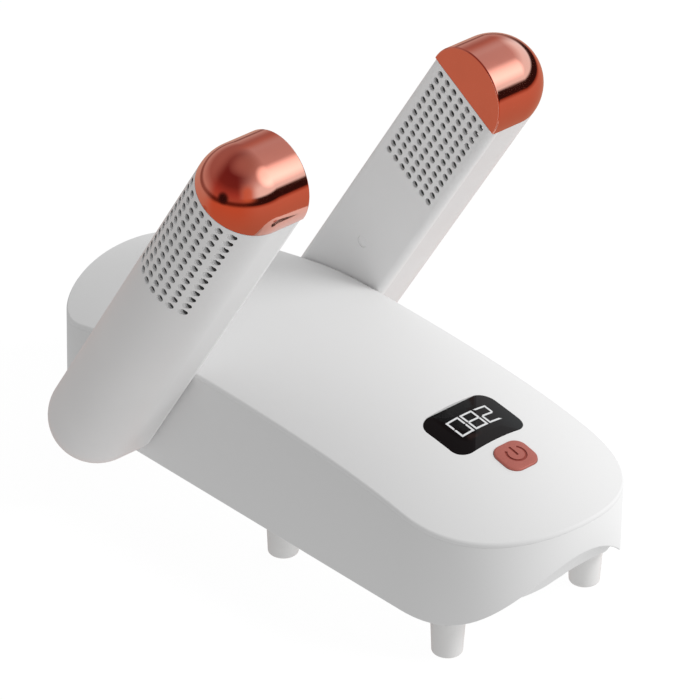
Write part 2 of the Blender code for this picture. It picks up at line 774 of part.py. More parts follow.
def make_heater(finishes):
    """A square duct round a finned heating core, between the blower and the manifold."""
    left, right = outlet_sides(0.0)
    front, rear = HEATER_FRONT, MANIFOLD_FRONT - GAP
    frame = add_object(
        "heater_frame",
        box_mesh("heater_frame", (left, front, DUCT_BOTTOM), (right, rear, DUCT_TOP)),
        finishes["ceramic"],
    )
    hollow = box_mesh(
        "heater_hollow",
        (left + THIN_WALL, front - OVERSHOOT, DUCT_BOTTOM + THIN_WALL),
        (right - THIN_WALL, rear + OVERSHOOT, DUCT_TOP - THIN_WALL),
    )
    cut(frame, "heater_hollow", hollow)
    core_left, core_right = left + THIN_WALL + GAP, right - THIN_WALL - GAP
    middle = (DUCT_BOTTOM + DUCT_TOP) / 2
    core = add_object(
        "heater_core",
        box_mesh(
            "heater_core",
            (core_left, front + CORE_MARGIN, middle - CORE_THICKNESS / 2),
            (core_right, rear - CORE_MARGIN, middle + CORE_THICKNESS / 2),
        ),
        finishes["steel"],
    )
    fins = bmesh.new()
    fin_front, fin_rear = front + FIN_MARGIN, rear - FIN_MARGIN
    fin_low, fin_high = middle - FIN_HEIGHT / 2, middle + FIN_HEIGHT / 2
    pitch = (core_right - core_left - FIN_THICKNESS) / (HEATER_FINS - 1)
    for i in range(HEATER_FINS):
        x = core_left + pitch * i
        box_into(fins, (x, fin_front, fin_low), (x + FIN_THICKNESS, fin_rear, fin_high))
    join(core, "heater_fins", mesh_from("fins", fins))


def make_manifold(finishes):
    """The cross duct that splits the warm air between the two hinge spigots."""
    half, front, rear = MANIFOLD_HALF_WIDTH, MANIFOLD_FRONT, MANIFOLD_REAR
    manifold = add_object(
        "air_manifold",
        box_mesh("air_manifold", (-half, front, DUCT_BOTTOM), (half, rear, DUCT_TOP)),
        finishes["grey_plastic"],
    )
    wall = THIN_WALL
    hollow = box_mesh(
        "manifold_hollow",
        (-half + wall, front + wall, DUCT_BOTTOM + wall),
        (half - wall, rear - wall, DUCT_TOP - wall),
    )
    cut(manifold, "manifold_hollow", hollow)
    bore = rod(
        "manifold_bore",
        SPIGOT_BORE,
        -half - OVERSHOOT,
        half + OVERSHOOT,
        axis="X",
        offset=(0.0, PIVOT_Y, PIVOT_Z),
    )
    cut(manifold, "manifold_bore", bore)
    left, right = outlet_sides(THIN_WALL)
    mouth = box_mesh(
        "manifold_mouth",
        (left, front - OVERSHOOT, DUCT_BOTTOM + wall),
        (right, front + 2 * wall, DUCT_TOP - wall),
    )
    cut(manifold, "manifold_mouth", mouth)


def make_hinge(finishes, side, name):
    """Spigot, seal, friction washer and retaining ring of one arm hinge."""
    axis = "X" if side > 0 else "-X"
    place = {"axis": axis, "offset": (0.0, PIVOT_Y, PIVOT_Z), "hoop": True}
    flange_outer = BODY_HALF_WIDTH - WALL - GAP
    flange_inner = flange_outer - SPIGOT_FLANGE_THICKNESS
    washer_inner = ARM_INNER_X + ARM_WALL + GAP
    washer_outer = washer_inner + WASHER_THICKNESS
    groove_low = washer_outer
    groove_high = groove_low + GROOVE_WIDTH
    end = groove_high + SPIGOT_LIP
    spigot = turned(
        f"{name}_spigot",
        [
            (SPIGOT_BORE, flange_inner),
            (SPIGOT_FLANGE_RADIUS, flange_inner),
            (SPIGOT_FLANGE_RADIUS, flange_outer),
            (SPIGOT_RADIUS, flange_outer),
            (SPIGOT_RADIUS, groove_low),
            (SPIGOT_GROOVE_RADIUS, groove_low),
            (SPIGOT_GROOVE_RADIUS, groove_high),
            (SPIGOT_RADIUS, groove_high),
            (SPIGOT_RADIUS, end),
            (SPIGOT_BORE, end),
        ],
        24,
        **place,
    )
    add_object(f"{name}_spigot", spigot, finishes["grey_plastic"])
    seal_span = (MANIFOLD_HALF_WIDTH + GAP, flange_inner - GAP)
    washer_span = (washer_inner, washer_outer)
    retaining_span = (groove_low + GAP, groove_high - GAP)
    rings = (
        ("seal_ring", SPIGOT_BORE, SEAL_RADIUS, seal_span, "rubber"),
        ("friction_washer", SPIGOT_RADIUS + GAP, WASHER_RADIUS, washer_span, "rubber"),
        ("retaining_ring", SPIGOT_GROOVE_RADIUS + GAP, RETAINING_RADIUS, retaining_span, "steel"),
    )
    for label, inner, outer, (low, high), material in rings:
        profile = [(inner, low), (outer, low), (outer, high), (inner, high)]
        mesh = turned(f"{name}_{label}", profile, 20, **place)
        add_object(f"{name}_{label}", mesh, finishes[material])


def make_power_inlet(finishes):
    """A two-pin mains inlet in the rear wall."""
    rear = INLET_FACE_Y
    front = rear - INLET_LENGTH
    body = add_object(
        "power_inlet",
        box_mesh(
            "power_inlet",
            (-INLET_HALF_WIDTH, front, INLET_BOTTOM),
            (INLET_HALF_WIDTH, rear, INLET_TOP),
        ),
        finishes["dark_plastic"],
    )
    height = (INLET_BOTTOM + INLET_TOP) / 2
    outline = rounded_rectangle(CAVITY_WIDTH, CAVITY_HEIGHT, CAVITY_CORNER)
    upright = Matrix.Translation((0.0, rear, height)) @ Matrix.Rotation(math.radians(90), 4, "X")
    cut(body, "inlet_cavity", prism("inlet_cavity", outline, -OVERSHOOT, CAVITY_DEPTH, upright))
    for side, name in ((-1, "left"), (1, "right")):
        place = {"axis": "Y", "offset": (side * PIN_X, 0.0, height)}
        hole_rear = rear - CAVITY_DEPTH + OVERSHOOT / 2
        hole = rod("pin_hole", PIN_RADIUS + GAP, front - OVERSHOOT, hole_rear, 10, **place)
        cut(body, f"{name}_pin_hole", hole)
        pin = rod(f"inlet_pin_{name}", PIN_RADIUS, front - PIN_TAIL, rear - PIN_TIP, 10, **place)
        add_object(f"inlet_pin_{name}", pin, finishes["brass"])


# --------------------------------------------------------------------- arms


def quarter(centre_across, centre_depth, radius_across, radius_depth, start, end, steps):
    """Profile points (half width, depth) on a part ellipse, angles in degrees."""
    points = []
    for i in range(steps + 1):
        angle = math.radians(start + (end - start) * i / steps)
        across = centre_across + radius_across * math.cos(angle)
        points.append((max(0.0, across), centre_depth + radius_depth * math.sin(angle)))
    return points


def arm_curve(inset):
    """The rounded outer side of an arm, from its side wall to its crown, moved in by inset."""
    across, depth = ARM_RADIUS - inset, ARM_DOME_DEPTH - inset
    return quarter(0.0, ARM_SIDE_DEPTH, across, depth, 0, 90, ARM_CURVE_STEPS)


def arm_path(radius, seam, tip):
    """A half stadium at one distance from the arm's centre line, ending on the seam plane."""
    centre = ARM_LENGTH if tip else 0.0
    path = [(-radius, seam)]
    for i in range(ARM_END_STEPS + 1):
        angle = math.pi * i / ARM_END_STEPS
        rise = radius * math.sin(angle) * (1 if tip else -1)
        path.append((-radius * math.cos(angle), centre + rise))
    path.append((radius, seam))
    return path


def arm_sweep(name, side, profiles, seam, tip=False):
    """Sweep (half width, depth) profiles round an arm end and close the seam plane.

    One profile makes a solid whose seam face is a single face. Two profiles with equally
    many points are the outside and the inside of a hollow end.
    """
    shape = bmesh.new()
    swept = []
    for profile in profiles:
        rows = []
        for across, depth in profile:
            x = side * (ARM_INNER_X + depth)
            rows.append([shape.verts.new((x, y, z)) for y, z in arm_path(across, seam, tip)])
        for low, high in zip(rows, rows[1:]):
            for i in range(len(low) - 1):
                shape.faces.new((low[i], low[i + 1], high[i + 1], high[i]))
        swept.append(rows)
    if len(swept) == 1:
        shape.faces.new([row[0] for row in swept[0]] + [row[-1] for row in reversed(swept[0])])
    else:
        outside, inside = swept
        for end in (0, -1):
            for i in range(len(outside) - 1):
                corners = (outside[i], outside[i + 1], inside[i + 1], inside[i])
                shape.faces.new([row[end] for row in corners])
    return mesh_from(name, shape)


def slot_cutters(left, right):
    """Boxes that cut the air slots straight across an arm, between two X values."""
    top = ARM_SEAM - FIRST_ROW + SLOT_WIDTH / 2
    bottom = top - ROW_PITCH * (ROWS - 1) - SLOT_WIDTH
    slots = bmesh.new()
    for i in range(SLOTS):
        y = (i - (SLOTS - 1) / 2) * SLOT_PITCH
        box_into(slots, (left, y - SLOT_WIDTH / 2, bottom), (right, y + SLOT_WIDTH / 2, top))
    return mesh_from("slots", slots)


def across_arm(side, low, high):
    """The X range between two depths below an arm's inner face, in rising order."""
    return sorted((side * (ARM_INNER_X + low), side * (ARM_INNER_X + high)))


def make_arm_plate(finishes, side, name, pivot):
    """The flat inner face of an arm, its rounded edge, and a tongue inside the shell."""
    corner = PLATE_EDGE_RADIUS
    tongue = ARM_RADIUS - ARM_WALL - GAP
    profile = [
        (0.0, 0.0),
        *quarter(ARM_RADIUS - corner, corner, corner, corner, -90, 0, 3),
        (ARM_RADIUS, PLATE_RIM),
        (tongue, PLATE_RIM),
        (tongue, ARM_TONGUE),
        (tongue - ARM_TONGUE_THICKNESS, ARM_TONGUE),
        (tongue - ARM_TONGUE_THICKNESS, ARM_WALL),
        (0.0, ARM_WALL),
    ]
    mesh = arm_sweep(f"{name}_arm_plate", side, [profile], ARM_SEAM - GAP / 2)
    plate = add_object(f"{name}_arm_plate", mesh, finishes["white_arm"], pivot)

    left, right = across_arm(side, -OVERSHOOT, ARM_WALL + OVERSHOOT)
    hole = rod("pivot_hole", SPIGOT_RADIUS + GAP, left, right, axis="X")
    cut(plate, f"{name}_pivot_hole", hole, pivot)

    recess_left, recess_right = across_arm(side, -OVERSHOOT, PLUG_DEPTH + PLUG_THICKNESS + GAP)
    place = {"axis": "X", "offset": (0.0, 0.0, PLUG_ALONG_ARM)}
    recess = rod("plug_recess", PLUG_RADIUS + GAP, recess_left, recess_right, 12, **place)
    cut(plate, f"{name}_plug_recess", recess, pivot)

    cut(plate, f"{name}_plate_slots", slot_cutters(left, right), pivot)


def make_arm_shell(finishes, side, name, pivot):
    """The half-round outer casing of an arm, with the same air slots as the plate."""
    joint = PLATE_RIM + GAP
    profile = list(reversed(arm_curve(0.0)))
    profile += [(ARM_RADIUS, joint), (ARM_RADIUS - ARM_WALL, joint)]
    profile += arm_curve(ARM_WALL)
    mesh = arm_sweep(f"{name}_arm_shell", side, [profile], ARM_SEAM - GAP / 2)
    shell = add_object(f"{name}_arm_shell", mesh, finishes["white_arm"], pivot)

    left, right = across_arm(side, ARM_SIDE_DEPTH, ARM_SIDE_DEPTH + ARM_DOME_DEPTH + OVERSHOOT)
    cut(shell, f"{name}_shell_slots", slot_cutters(left, right), pivot)


def make_tip_cap(finishes, side, name, pivot):
    """The hollow copper tip, flat on its inner side and domed elsewhere."""
    outside = [(0.0, 0.0), (ARM_RADIUS, 0.0), *arm_curve(0.0)]
    inside = [(0.0, ARM_WALL), (ARM_RADIUS - ARM_WALL, ARM_WALL), *arm_curve(ARM_WALL)]
    mesh = arm_sweep(f"{name}_tip_cap", side, [outside, inside], ARM_SEAM + GAP / 2, tip=True)
    add_object(f"{name}_tip_cap", mesh, finishes["copper"], pivot)


def make_screw_plug(finishes, side, name, pivot):
    left, right = across_arm(side, PLUG_DEPTH, PLUG_DEPTH + PLUG_THICKNESS)
    place = {"axis": "X", "offset": (0.0, 0.0, PLUG_ALONG_ARM)}
    plug = rod(f"{name}_screw_plug", PLUG_RADIUS, left, right, 12, **place)
    add_object(f"{name}_screw_plug", plug, finishes["white_arm"], pivot)


def make_arm(finishes, side, name):
    pivot = add_pivot(f"{name}_arm_hinge", (0.0, PIVOT_Y, PIVOT_Z), (ARM_TILT, 0.0, 0.0))
    make_arm_plate(finishes, side, name, pivot)
    make_arm_shell(finishes, side, name, pivot)
    make_tip_cap(finishes, side, name, pivot)
    make_screw_plug(finishes, side, name, pivot)


def build():
    for old in list(bpy.data.objects):
        bpy.data.objects.remove(old, do_unlink=True)
    finishes = make_finishes()
    make_housing(finishes)
    make_top_cover(finishes)
    make_base_tray(finishes)
    make_feet(finishes)
    make_tray_screws(finishes)
    make_display(finishes)
    make_button(finishes)
    make_control_board(finishes)
    motor_high = make_blower(finishes)
    make_impeller(finishes, motor_high)
    make_heater(finishes)
    make_manifold(finishes)
    make_power_inlet(finishes)
    for side, name in ((-1, "left"), (1, "right")):
        make_hinge(finishes, side, name)
        make_arm(finishes, side, name)


build()
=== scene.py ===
"""Looks of the boot dryer: finely modelled casings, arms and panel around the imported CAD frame.

Metres, +Z up, in the frame of the CAD part. The front of the base points to -Y.
"""

import math

import bmesh
import bpy
from mathutils import Matrix, Vector


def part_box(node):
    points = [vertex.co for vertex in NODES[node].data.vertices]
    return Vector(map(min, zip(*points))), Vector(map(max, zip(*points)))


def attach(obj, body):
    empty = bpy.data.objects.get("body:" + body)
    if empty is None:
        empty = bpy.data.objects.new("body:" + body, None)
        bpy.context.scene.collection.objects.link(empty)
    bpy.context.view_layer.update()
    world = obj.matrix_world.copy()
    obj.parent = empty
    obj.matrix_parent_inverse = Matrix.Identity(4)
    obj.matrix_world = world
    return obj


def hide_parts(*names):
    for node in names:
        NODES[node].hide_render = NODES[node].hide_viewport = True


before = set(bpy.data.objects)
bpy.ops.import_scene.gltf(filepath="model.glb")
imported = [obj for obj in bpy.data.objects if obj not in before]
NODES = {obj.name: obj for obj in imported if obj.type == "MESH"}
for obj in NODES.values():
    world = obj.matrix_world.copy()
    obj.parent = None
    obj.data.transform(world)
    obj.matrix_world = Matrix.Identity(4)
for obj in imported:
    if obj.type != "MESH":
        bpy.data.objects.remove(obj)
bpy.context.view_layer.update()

# Base body
BODY_HALF_WIDTH = 0.0475
FRONT_Y = -0.1295
REAR_Y = 0.1295
FRONT_END = 0.0483
FRONT_POWER = 2.07
REAR_END = 0.0285
REAR_POWER = 2.18
FRONT_START = FRONT_Y + FRONT_END
REAR_START = REAR_Y - REAR_END
SIDE_STEPS = 24
END_STEPS = 56
WALL = 0.0022
GAP = 0.0003
FINE_GAP = 0.00012
OVERSHOOT = 0.004
SHARP_ANGLE = math.radians(35.0)
NORMAL_TOLERANCE = 14.0

# Deck and lower edge
UNDERSIDE = 0.0157
DECK_EDGE = 0.0701
DECK_CROWN = 0.0133
FRONT_FALL = 0.44
FRONT_BREAK = -0.0886
FRONT_BLEND = 0.0597
REAR_FALL = 0.217
REAR_BREAK = 0.0564
REAR_BLEND = 0.015
CREASE_RADIUS = 0.0008
SKIRT_DEPTH = 0.0018
PARTING = 0.00006
PARTING_EDGE = 0.0001
PARTING_ROUND = 0.3 * PARTING_EDGE
WALL_EDGE_RADIUS = 0.0008
TONGUE_DEPTH = 0.0068
TONGUE_THICKNESS = 0.0015
DECK_RINGS = 16
ARCH_HEIGHT = 0.0285
ARCH_POWER = 1.7
ARCH_END_Y = -0.075
ARCH_BLEND = 0.020
BOW_START = 0.45
BOW_END_Y = -0.103
BOW_BLEND = 0.008
TRAY_RIM = 0.006
TRAY_EDGE_RADIUS = 0.002
TRAY_RINGS = 20

# Feet and tray
FOOT_X = 0.0362
FOOT_YS = {"front": -0.0956, "middle": -0.0047, "rear": 0.100}
FOOT_BOTTOM_RADIUS = 0.0060
FOOT_TOP_RADIUS = 0.0068
FOOT_EDGE_RADIUS = 0.0011
FOOT_FACE_INSET = 0.0022
FOOT_FLARE = 0.0001
FOOT_FLARE_HEIGHT = 0.0007
FOOT_STUD_RADIUS = 0.0028
FOOT_STUD_LENGTH = 0.0037
GRILLE_SLOTS = 7
GRILLE_PITCH = 0.0052
GRILLE_SLOT_WIDTH = 0.0028
GRILLE_SLOT_CORNER = 0.45 * GRILLE_SLOT_WIDTH
GRILLE_RADIUS = 0.0190
GRILLE_Y = -0.005
TRAY_SCREW_HOLE = 0.0015
FOOT_STUD_HOLE = 0.0031
POSTS = {
    "front_left": (-0.030, -0.066),
    "front_right": (0.030, -0.066),
    "rear_left": (-0.022, 0.108),
    "rear_right": (0.022, 0.108),
}

# Arms
PIVOT_Y = 0.0727
PIVOT_Z = 0.0371
ARM_TILT = math.radians(31.9)
ARM_RADIUS = 0.019
ARM_SIDE_DEPTH = 0.0150
ARM_DOME_DEPTH = 0.0195
ARM_LENGTH = 0.1580
ARM_SEAM = 0.1574
ARM_INNER_X = 0.0481
ARM_WALL = 0.002
ARM_CUT_DEPTH = 0.006
ARM_TONGUE_DEPTH = 0.0062
ARM_TONGUE_THICKNESS = 0.0014
PLATE_EDGE_RADIUS = 0.0028
PLATE_RIM = 0.0035
PLATE_SEAM = 0.00004
CAP_EDGE_RADIUS = 0.0006
SEAM_BEVEL = 0.00014
ARM_END_STEPS = 44
ARM_CURVE_STEPS = 22
SPIGOT_HOLE = 0.0100
PLUG_RADIUS = 0.0024
PLUG_ALONG_ARM = 0.0555
PLUG_GAP = 0.00006
PLUG_FACE = 0.00005
PLUG_SHOULDER = 0.0002
PLUG_CHAMFER = 0.0003
PLUG_BOTTOM = 0.0011
PLUG_RECESS = 0.0012
HOLE_RADIUS = 0.00143
HOLE_FLARE = 0.00022
# Depth into a hole past which its wall gets the dark grey of painted shade.
HOLE_SHADE_DEPTH = 0.0014
HOLE_SIDES = 20
HOLES = 7
HOLE_PITCH = 0.00435
FIRST_ROW = 0.0035
ROW_PITCH = 0.00427
ROWS = 13

# Control panel
DISPLAY_Y = -0.0693
DISPLAY_WIDTH = 0.0350
DISPLAY_LENGTH = 0.0244
DISPLAY_CORNER = 0.0058
DISPLAY_THICKNESS = 0.0018
DISPLAY_RISE = 0.0001
GLASS_EDGE_RADIUS = 0.00035
# Painted glare on the window glass: the slanting line past which its base colour is lighter.
GLARE_ACROSS = Vector((0.7136, -0.7007, 0.0))
GLARE_OFFSET = 0.00099
GLARE_BLEND = 0.0002
BUTTON_Y = -0.0922
BUTTON_WIDTH = 0.0150
BUTTON_LENGTH = 0.0144
BUTTON_CORNER = 0.0050
BUTTON_DEPTH = 0.0032
KEY_CROWN = 0.0009
KEY_CROWN_FALL = 0.45
KEY_EDGE_RADIUS = 0.0009
KEY_EDGE_SHARE = 0.62
CORNER_STEPS = 14
DIGIT_WIDTH = 0.0063
DIGIT_HEIGHT = 0.0095
DIGIT_PITCH = 0.0071
DIGIT_STROKE = 0.00085
DIGIT_SLIT = 0.00003
DIGIT_BREAK = 0.00016
LONGEST_DIGIT_EDGE = 0.0016
INK_BOTTOM = 0.00006
INK_TOP = 0.00013
DIGIT_CENTRE = (0.0007, DISPLAY_Y + 0.0005)
READING = "082"
SEGMENTS = {"0": "abcdef", "2": "abged", "8": "abcdefg"}
ICON_CENTRE = Vector((0.0003, 0.0003))
ICON_RADIUS = 0.0038
ICON_STROKE = 0.0010
ICON_FACE = 0.00085
ICON_DEPTH = 0.00045
ICON_FLOOR = ICON_FACE - ICON_DEPTH
ICON_OPENING = math.radians(44)
ICON_STEPS = 40
ICON_BAR_LENGTH = 0.0050
ICON_BAR_OFFSET = 0.0015
ICON_BAR_CORNER = 0.0003

# Camera, from its azimuth, elevation and roll about an aim point
CAMERA_AZIMUTH = math.radians(-43.486)
CAMERA_ELEVATION = math.radians(31.014)
CAMERA_ROLL = math.radians(1.064)
CAMERA_DISTANCE = 2.240708
CAMERA_AIM = Vector((0.0, 0.08242, 0.030))
CAMERA_RIGHT = 0.05796
CAMERA_UP = 0.00549
CAMERA_LENS = 292.14

# Light and floor
LIGHT_AZIMUTH = math.radians(32)
LIGHT_ELEVATION = math.radians(44)
LIGHT_AIM = Vector((0.0, 0.0, 0.05))
LIGHT_DISTANCE = 1.6
LIGHT_SIZE = 0.45
LIGHT_POWER = 9.3
AMBIENT = 0.735
AMBIENT_SLOPE = (0.28, -0.07, -0.12)
RIGHT_PANEL_AZIMUTH = math.radians(55)
WARM_PANEL_SHARE = 0.85
SPOT_AZIMUTH = math.radians(-88)
SPOT_ELEVATION = math.radians(7)
LAMP_AZIMUTH = math.radians(34)
LAMP_ELEVATION = math.radians(42)
LAMP_GLOW = 0.9
FLOOR_HALF_SIZE = 8.0
FLOOR_GLOW = 0.94


# ---------------- shader nodes


def add_node(tree, kind, *inputs, **settings):
    """Add a shader node. Inputs are sockets or constants, in order, and None leaves one alone."""
    made = tree.nodes.new("ShaderNode" + kind)
    for name, value in settings.items():
        setattr(made, name, value)
    for socket, value in zip(made.inputs, inputs):
        if isinstance(value, bpy.types.NodeSocket):
            tree.links.new(value, socket)
        elif value is not None:
            socket.default_value = value
    return made


def math_node(tree, operation, *inputs):
    return add_node(tree, "Math", *inputs, operation=operation).outputs[0]


def dot_product(tree, place, vector):
    node = add_node(tree, "VectorMath", place, tuple(vector), operation="DOT_PRODUCT")
    return node.outputs["Value"]


def smooth_step(tree, value, low, high, start=0.0, end=1.0):
    node = add_node(
        tree, "MapRange", value, low, high, start, end, interpolation_type="SMOOTHSTEP"
    )
    return node.outputs[0]


def mix_colours(tree, factor, first, second):
    """Mix two colours, each a socket or a constant, by a factor socket."""
    mix = tree.nodes.new("ShaderNodeMix")
    mix.data_type = "RGBA"
    for index, value in ((0, factor), (6, first), (7, second)):
        if isinstance(value, bpy.types.NodeSocket):
            tree.links.new(value, mix.inputs[index])
        else:
            mix.inputs[index].default_value = (*value, 1.0)
    return mix.outputs[2]


def colour_ramp(tree, factor, stops):
    node = add_node(tree, "ValToRGB", factor)
    elements = node.color_ramp.elements
    elements[0].position, elements[1].position = stops[0][0], stops[-1][0]
    elements[0].color, elements[1].color = (*stops[0][1], 1.0), (*stops[-1][1], 1.0)
    for position, colour in stops[1:-1]:
        elements.new(position).color = (*colour, 1.0)
    return node.outputs[0]


def object_place(tree):
    return tree.nodes.new("ShaderNodeTexCoord").outputs["Object"]


def noise(tree, scale, detail):
    return add_node(tree, "TexNoise", object_place(tree), None, scale, detail).outputs[0]


def drift(tree, scale, detail, low=0.0, high=1.0):
    """A noise that wanders softly from low to high."""
    return smooth_step(tree, noise(tree, scale, detail), 0.3, 0.7, low, high)


def new_finish(name, colour, roughness, metallic=0.0):
    material = bpy.data.materials.new(name)
    material.use_nodes = True
    tree = material.node_tree
    shader = tree.nodes["Principled BSDF"]
    shader.inputs["Base Color"].default_value = (*colour, 1.0)
    shader.inputs["Roughness"].default_value = roughness
    shader.inputs["Metallic"].default_value = metallic
    return material, tree, shader


def scaled(colour, factor):
    return tuple(min(1.0, channel * factor) for channel in colour)


def vary(tree, shader, colour, spread, scale, detail=3.0):
    """Base colour that drifts a little, darker to lighter, with a noise."""
    low, high = scaled(colour, 1 - spread), scaled(colour, 1 + spread)
    mixed = mix_colours(tree, drift(tree, scale, detail), low, high)
    tree.links.new(mixed, shader.inputs["Base Color"])


def vary_roughness(tree, shader, low, high, scale, detail=3.0):
    """Gloss that drifts a little with a noise."""
    tree.links.new(drift(tree, scale, detail, low, high), shader.inputs["Roughness"])


def add_relief(tree, shader, height, strength, distance, invert=False):
    """Fine relief that only bends the shading."""
    bump = add_node(tree, "Bump", strength, distance, invert=invert)
    tree.links.new(height, bump.inputs["Height"])
    tree.links.new(bump.outputs[0], shader.inputs["Normal"])


def plastic(name, colour, roughness, grain=1.0, spread=0.012):
    """Satin moulded plastic: slow drift in colour and gloss, and a fine spark-eroded grain."""
    material, tree, shader = new_finish(name, colour, roughness)
    vary(tree, shader, colour, spread, 28.0)
    vary_roughness(tree, shader, roughness - 0.04, roughness + 0.05, 45.0)
    shader.inputs["Specular IOR Level"].default_value = 0.12
    add_relief(tree, shader, noise(tree, 4200.0, 2.0), 0.25 * grain, 0.00002)
    return material


def copper_chrome():
    """Copper-coloured mirror plating under a clear coat."""
    colour = (0.84, 0.29, 0.19)
    material, tree, shader = new_finish("copper_chrome", colour, 0.09, 1.0)
    vary(tree, shader, colour, 0.03, 60.0)
    vary_roughness(tree, shader, 0.07, 0.12, 120.0)
    shader.inputs["Coat Weight"].default_value = 1.0
    shader.inputs["Coat IOR"].default_value = 2.1
    shader.inputs["Coat Roughness"].default_value = 0.05
    add_relief(tree, shader, noise(tree, 90.0, 1.0), 0.06, 0.0001)
    return material


def button_copper():
    """Matt copper-red lacquer with a very fine metal flake."""
    colour = (0.49, 0.15, 0.12)
    material, tree, shader = new_finish("button_copper", colour, 0.42, 0.25)
    vary(tree, shader, colour, 0.05, 2600.0, 1.0)
    vary_roughness(tree, shader, 0.36, 0.5, 900.0)
    add_relief(tree, shader, noise(tree, 3500.0, 1.0), 0.2, 0.00002)
    return material


def smoked_glass():
    """Black printed window with a painted reflection: a slanting half of it is a shade lighter
    than the other, a glare painted into the base colour.
    """
    material, tree, shader = new_finish("smoked_glass", (0.006, 0.006, 0.0065), 0.06)
    across = dot_product(tree, object_place(tree), GLARE_ACROSS)
    edge = GLARE_ACROSS.y * DISPLAY_Y + GLARE_OFFSET
    # Painted reflection: past this slanting line the glass gets a lighter base colour.
    half = smooth_step(tree, across, edge - GLARE_BLEND, edge + GLARE_BLEND)
    glass_with_painted_glare = mix_colours(tree, half, (0.0062, 0.0062, 0.0066), (0.019, 0.019, 0.0195))
    tree.links.new(glass_with_painted_glare, shader.inputs["Base Color"])
    vary_roughness(tree, shader, 0.05, 0.09, 160.0)
    shader.inputs["Specular IOR Level"].default_value = 0.1
    return material


def lit_digits():
    """Back-lit white segments, a little uneven along each light guide."""
    colour = (0.72, 0.73, 0.74)
    material, tree, shader = new_finish("lit_digits", colour, 0.4)
    vary(tree, shader, colour, 0.04, 700.0)
    glow = mix_colours(tree, drift(tree, 500.0, 2.0), (0.66, 0.68, 0.70), (0.78, 0.79, 0.80))
    tree.links.new(glow, shader.inputs["Emission Color"])
    shader.inputs["Emission Strength"].default_value = 0.06
    return material


def brushed_metal(name, colour, roughness):
    """Turned or rolled metal with fine streaks across Z."""
    material, tree, shader = new_finish(name, colour, roughness, 1.0)
    stretched = add_node(tree, "Mapping", object_place(tree))
    stretched.inputs["Scale"].default_value = (1.0, 1.0, 30.0)
    streaks = add_node(tree, "TexNoise", stretched.outputs[0], None, 180.0, 4.0).outputs[0]
    mixed = mix_colours(tree, streaks, scaled(colour, 0.9), scaled(colour, 1.1))
    tree.links.new(mixed, shader.inputs["Base Color"])
    spread = smooth_step(tree, streaks, 0.3, 0.7, roughness - 0.08, roughness + 0.1)
    tree.links.new(spread, shader.inputs["Roughness"])
    add_relief(tree, shader, streaks, 0.15, 0.00003)
    return material


def soft_rubber(name, colour):
    material, tree, shader = new_finish(name, colour, 0.75)
    vary(tree, shader, colour, 0.08, 400.0)
    vary_roughness(tree, shader, 0.65, 0.85, 300.0)
    add_relief(tree, shader, noise(tree, 2500.0, 3.0), 0.35, 0.00004)
    return material


def open_foam(name, colour):
    """Open-cell filter foam: dark pores between light strands."""
    material, tree, shader = new_finish(name, colour, 0.95)
    pattern = add_node(tree, "TexVoronoi", object_place(tree), None, 900.0, feature="SMOOTH_F1")
    cells = pattern.outputs[0]
    pores = smooth_step(tree, cells, 0.1, 0.6)
    mixed = mix_colours(tree, pores, scaled(colour, 1.5), scaled(colour, 0.35))
    tree.links.new(mixed, shader.inputs["Base Color"])
    add_relief(tree, shader, cells, 0.9, 0.0004, invert=True)
    return material


def printed_board(name):
    """Green solder mask over faint copper tracks."""
    material, tree, shader = new_finish(name, (0.02, 0.14, 0.05), 0.4)
    tracks = add_node(tree, "TexBrick", object_place(tree))
    tracks.inputs["Scale"].default_value = 260.0
    tracks.inputs["Color1"].default_value = (0.02, 0.13, 0.05, 1.0)
    tracks.inputs["Color2"].default_value = (0.025, 0.16, 0.06, 1.0)
    tracks.inputs["Mortar"].default_value = (0.05, 0.24, 0.10, 1.0)
    tree.links.new(tracks.outputs[0], shader.inputs["Base Color"])
    vary_roughness(tree, shader, 0.32, 0.5, 300.0)
    add_relief(tree, shader, tracks.outputs[1], 0.3, 0.00005)
    return material


FINISHES = {
    "shell": plastic("white_shell_plastic", (0.80, 0.80, 0.80), 0.44),
    "arm": plastic("white_arm_plastic", (0.80, 0.80, 0.80), 0.46),
    # Painted light: the inner plates are the same white plastic as the arm casings, made lighter
    # here to stand in for the light they catch.
    "plate": plastic("plate_plastic_painted_lighter", (0.88, 0.88, 0.88), 0.46),
    # Painted shade: a dark grey on the hole walls and inside the arms, where only shade falls.
    "inside_shade": plastic("painted_inside_shade", (0.17, 0.17, 0.17), 0.7),
    "tray": plastic("white_tray_plastic", (0.78, 0.78, 0.78), 0.5),
    "foot": plastic("white_foot_plastic", (0.80, 0.80, 0.795), 0.5, 1.4),
    "copper": copper_chrome(),
    "button": button_copper(),
    "icon": plastic("button_mark", (0.34, 0.08, 0.062), 0.6, 0.6, 0.05),
    "glass": smoked_glass(),
    "digits": lit_digits(),
    "dark_plastic": plastic("dark_plastic", (0.03, 0.03, 0.034), 0.5, 1.6, 0.15),
    "grey_plastic": plastic("grey_plastic", (0.42, 0.43, 0.44), 0.5, 1.3, 0.03),
    "steel": brushed_metal("brushed_steel", (0.60, 0.60, 0.61), 0.3),
    "brass": brushed_metal("plated_brass", (0.72, 0.55, 0.28), 0.28),
    "fins": brushed_metal("heater_fin_alloy", (0.66, 0.65, 0.63), 0.4),
    "mica": plastic("heater_mica", (0.66, 0.62, 0.54), 0.7, 3.0, 0.08),
    "rubber": soft_rubber("black_rubber", (0.035, 0.035, 0.035)),
    "foam": open_foam("filter_foam", (0.13, 0.13, 0.14)),
    "board": printed_board("circuit_board"),
}


# ---------------- mesh helpers


def weld(shape):
    bmesh.ops.remove_doubles(shape, verts=shape.verts, dist=1e-7)
    bmesh.ops.dissolve_degenerate(shape, edges=shape.edges, dist=1e-8)


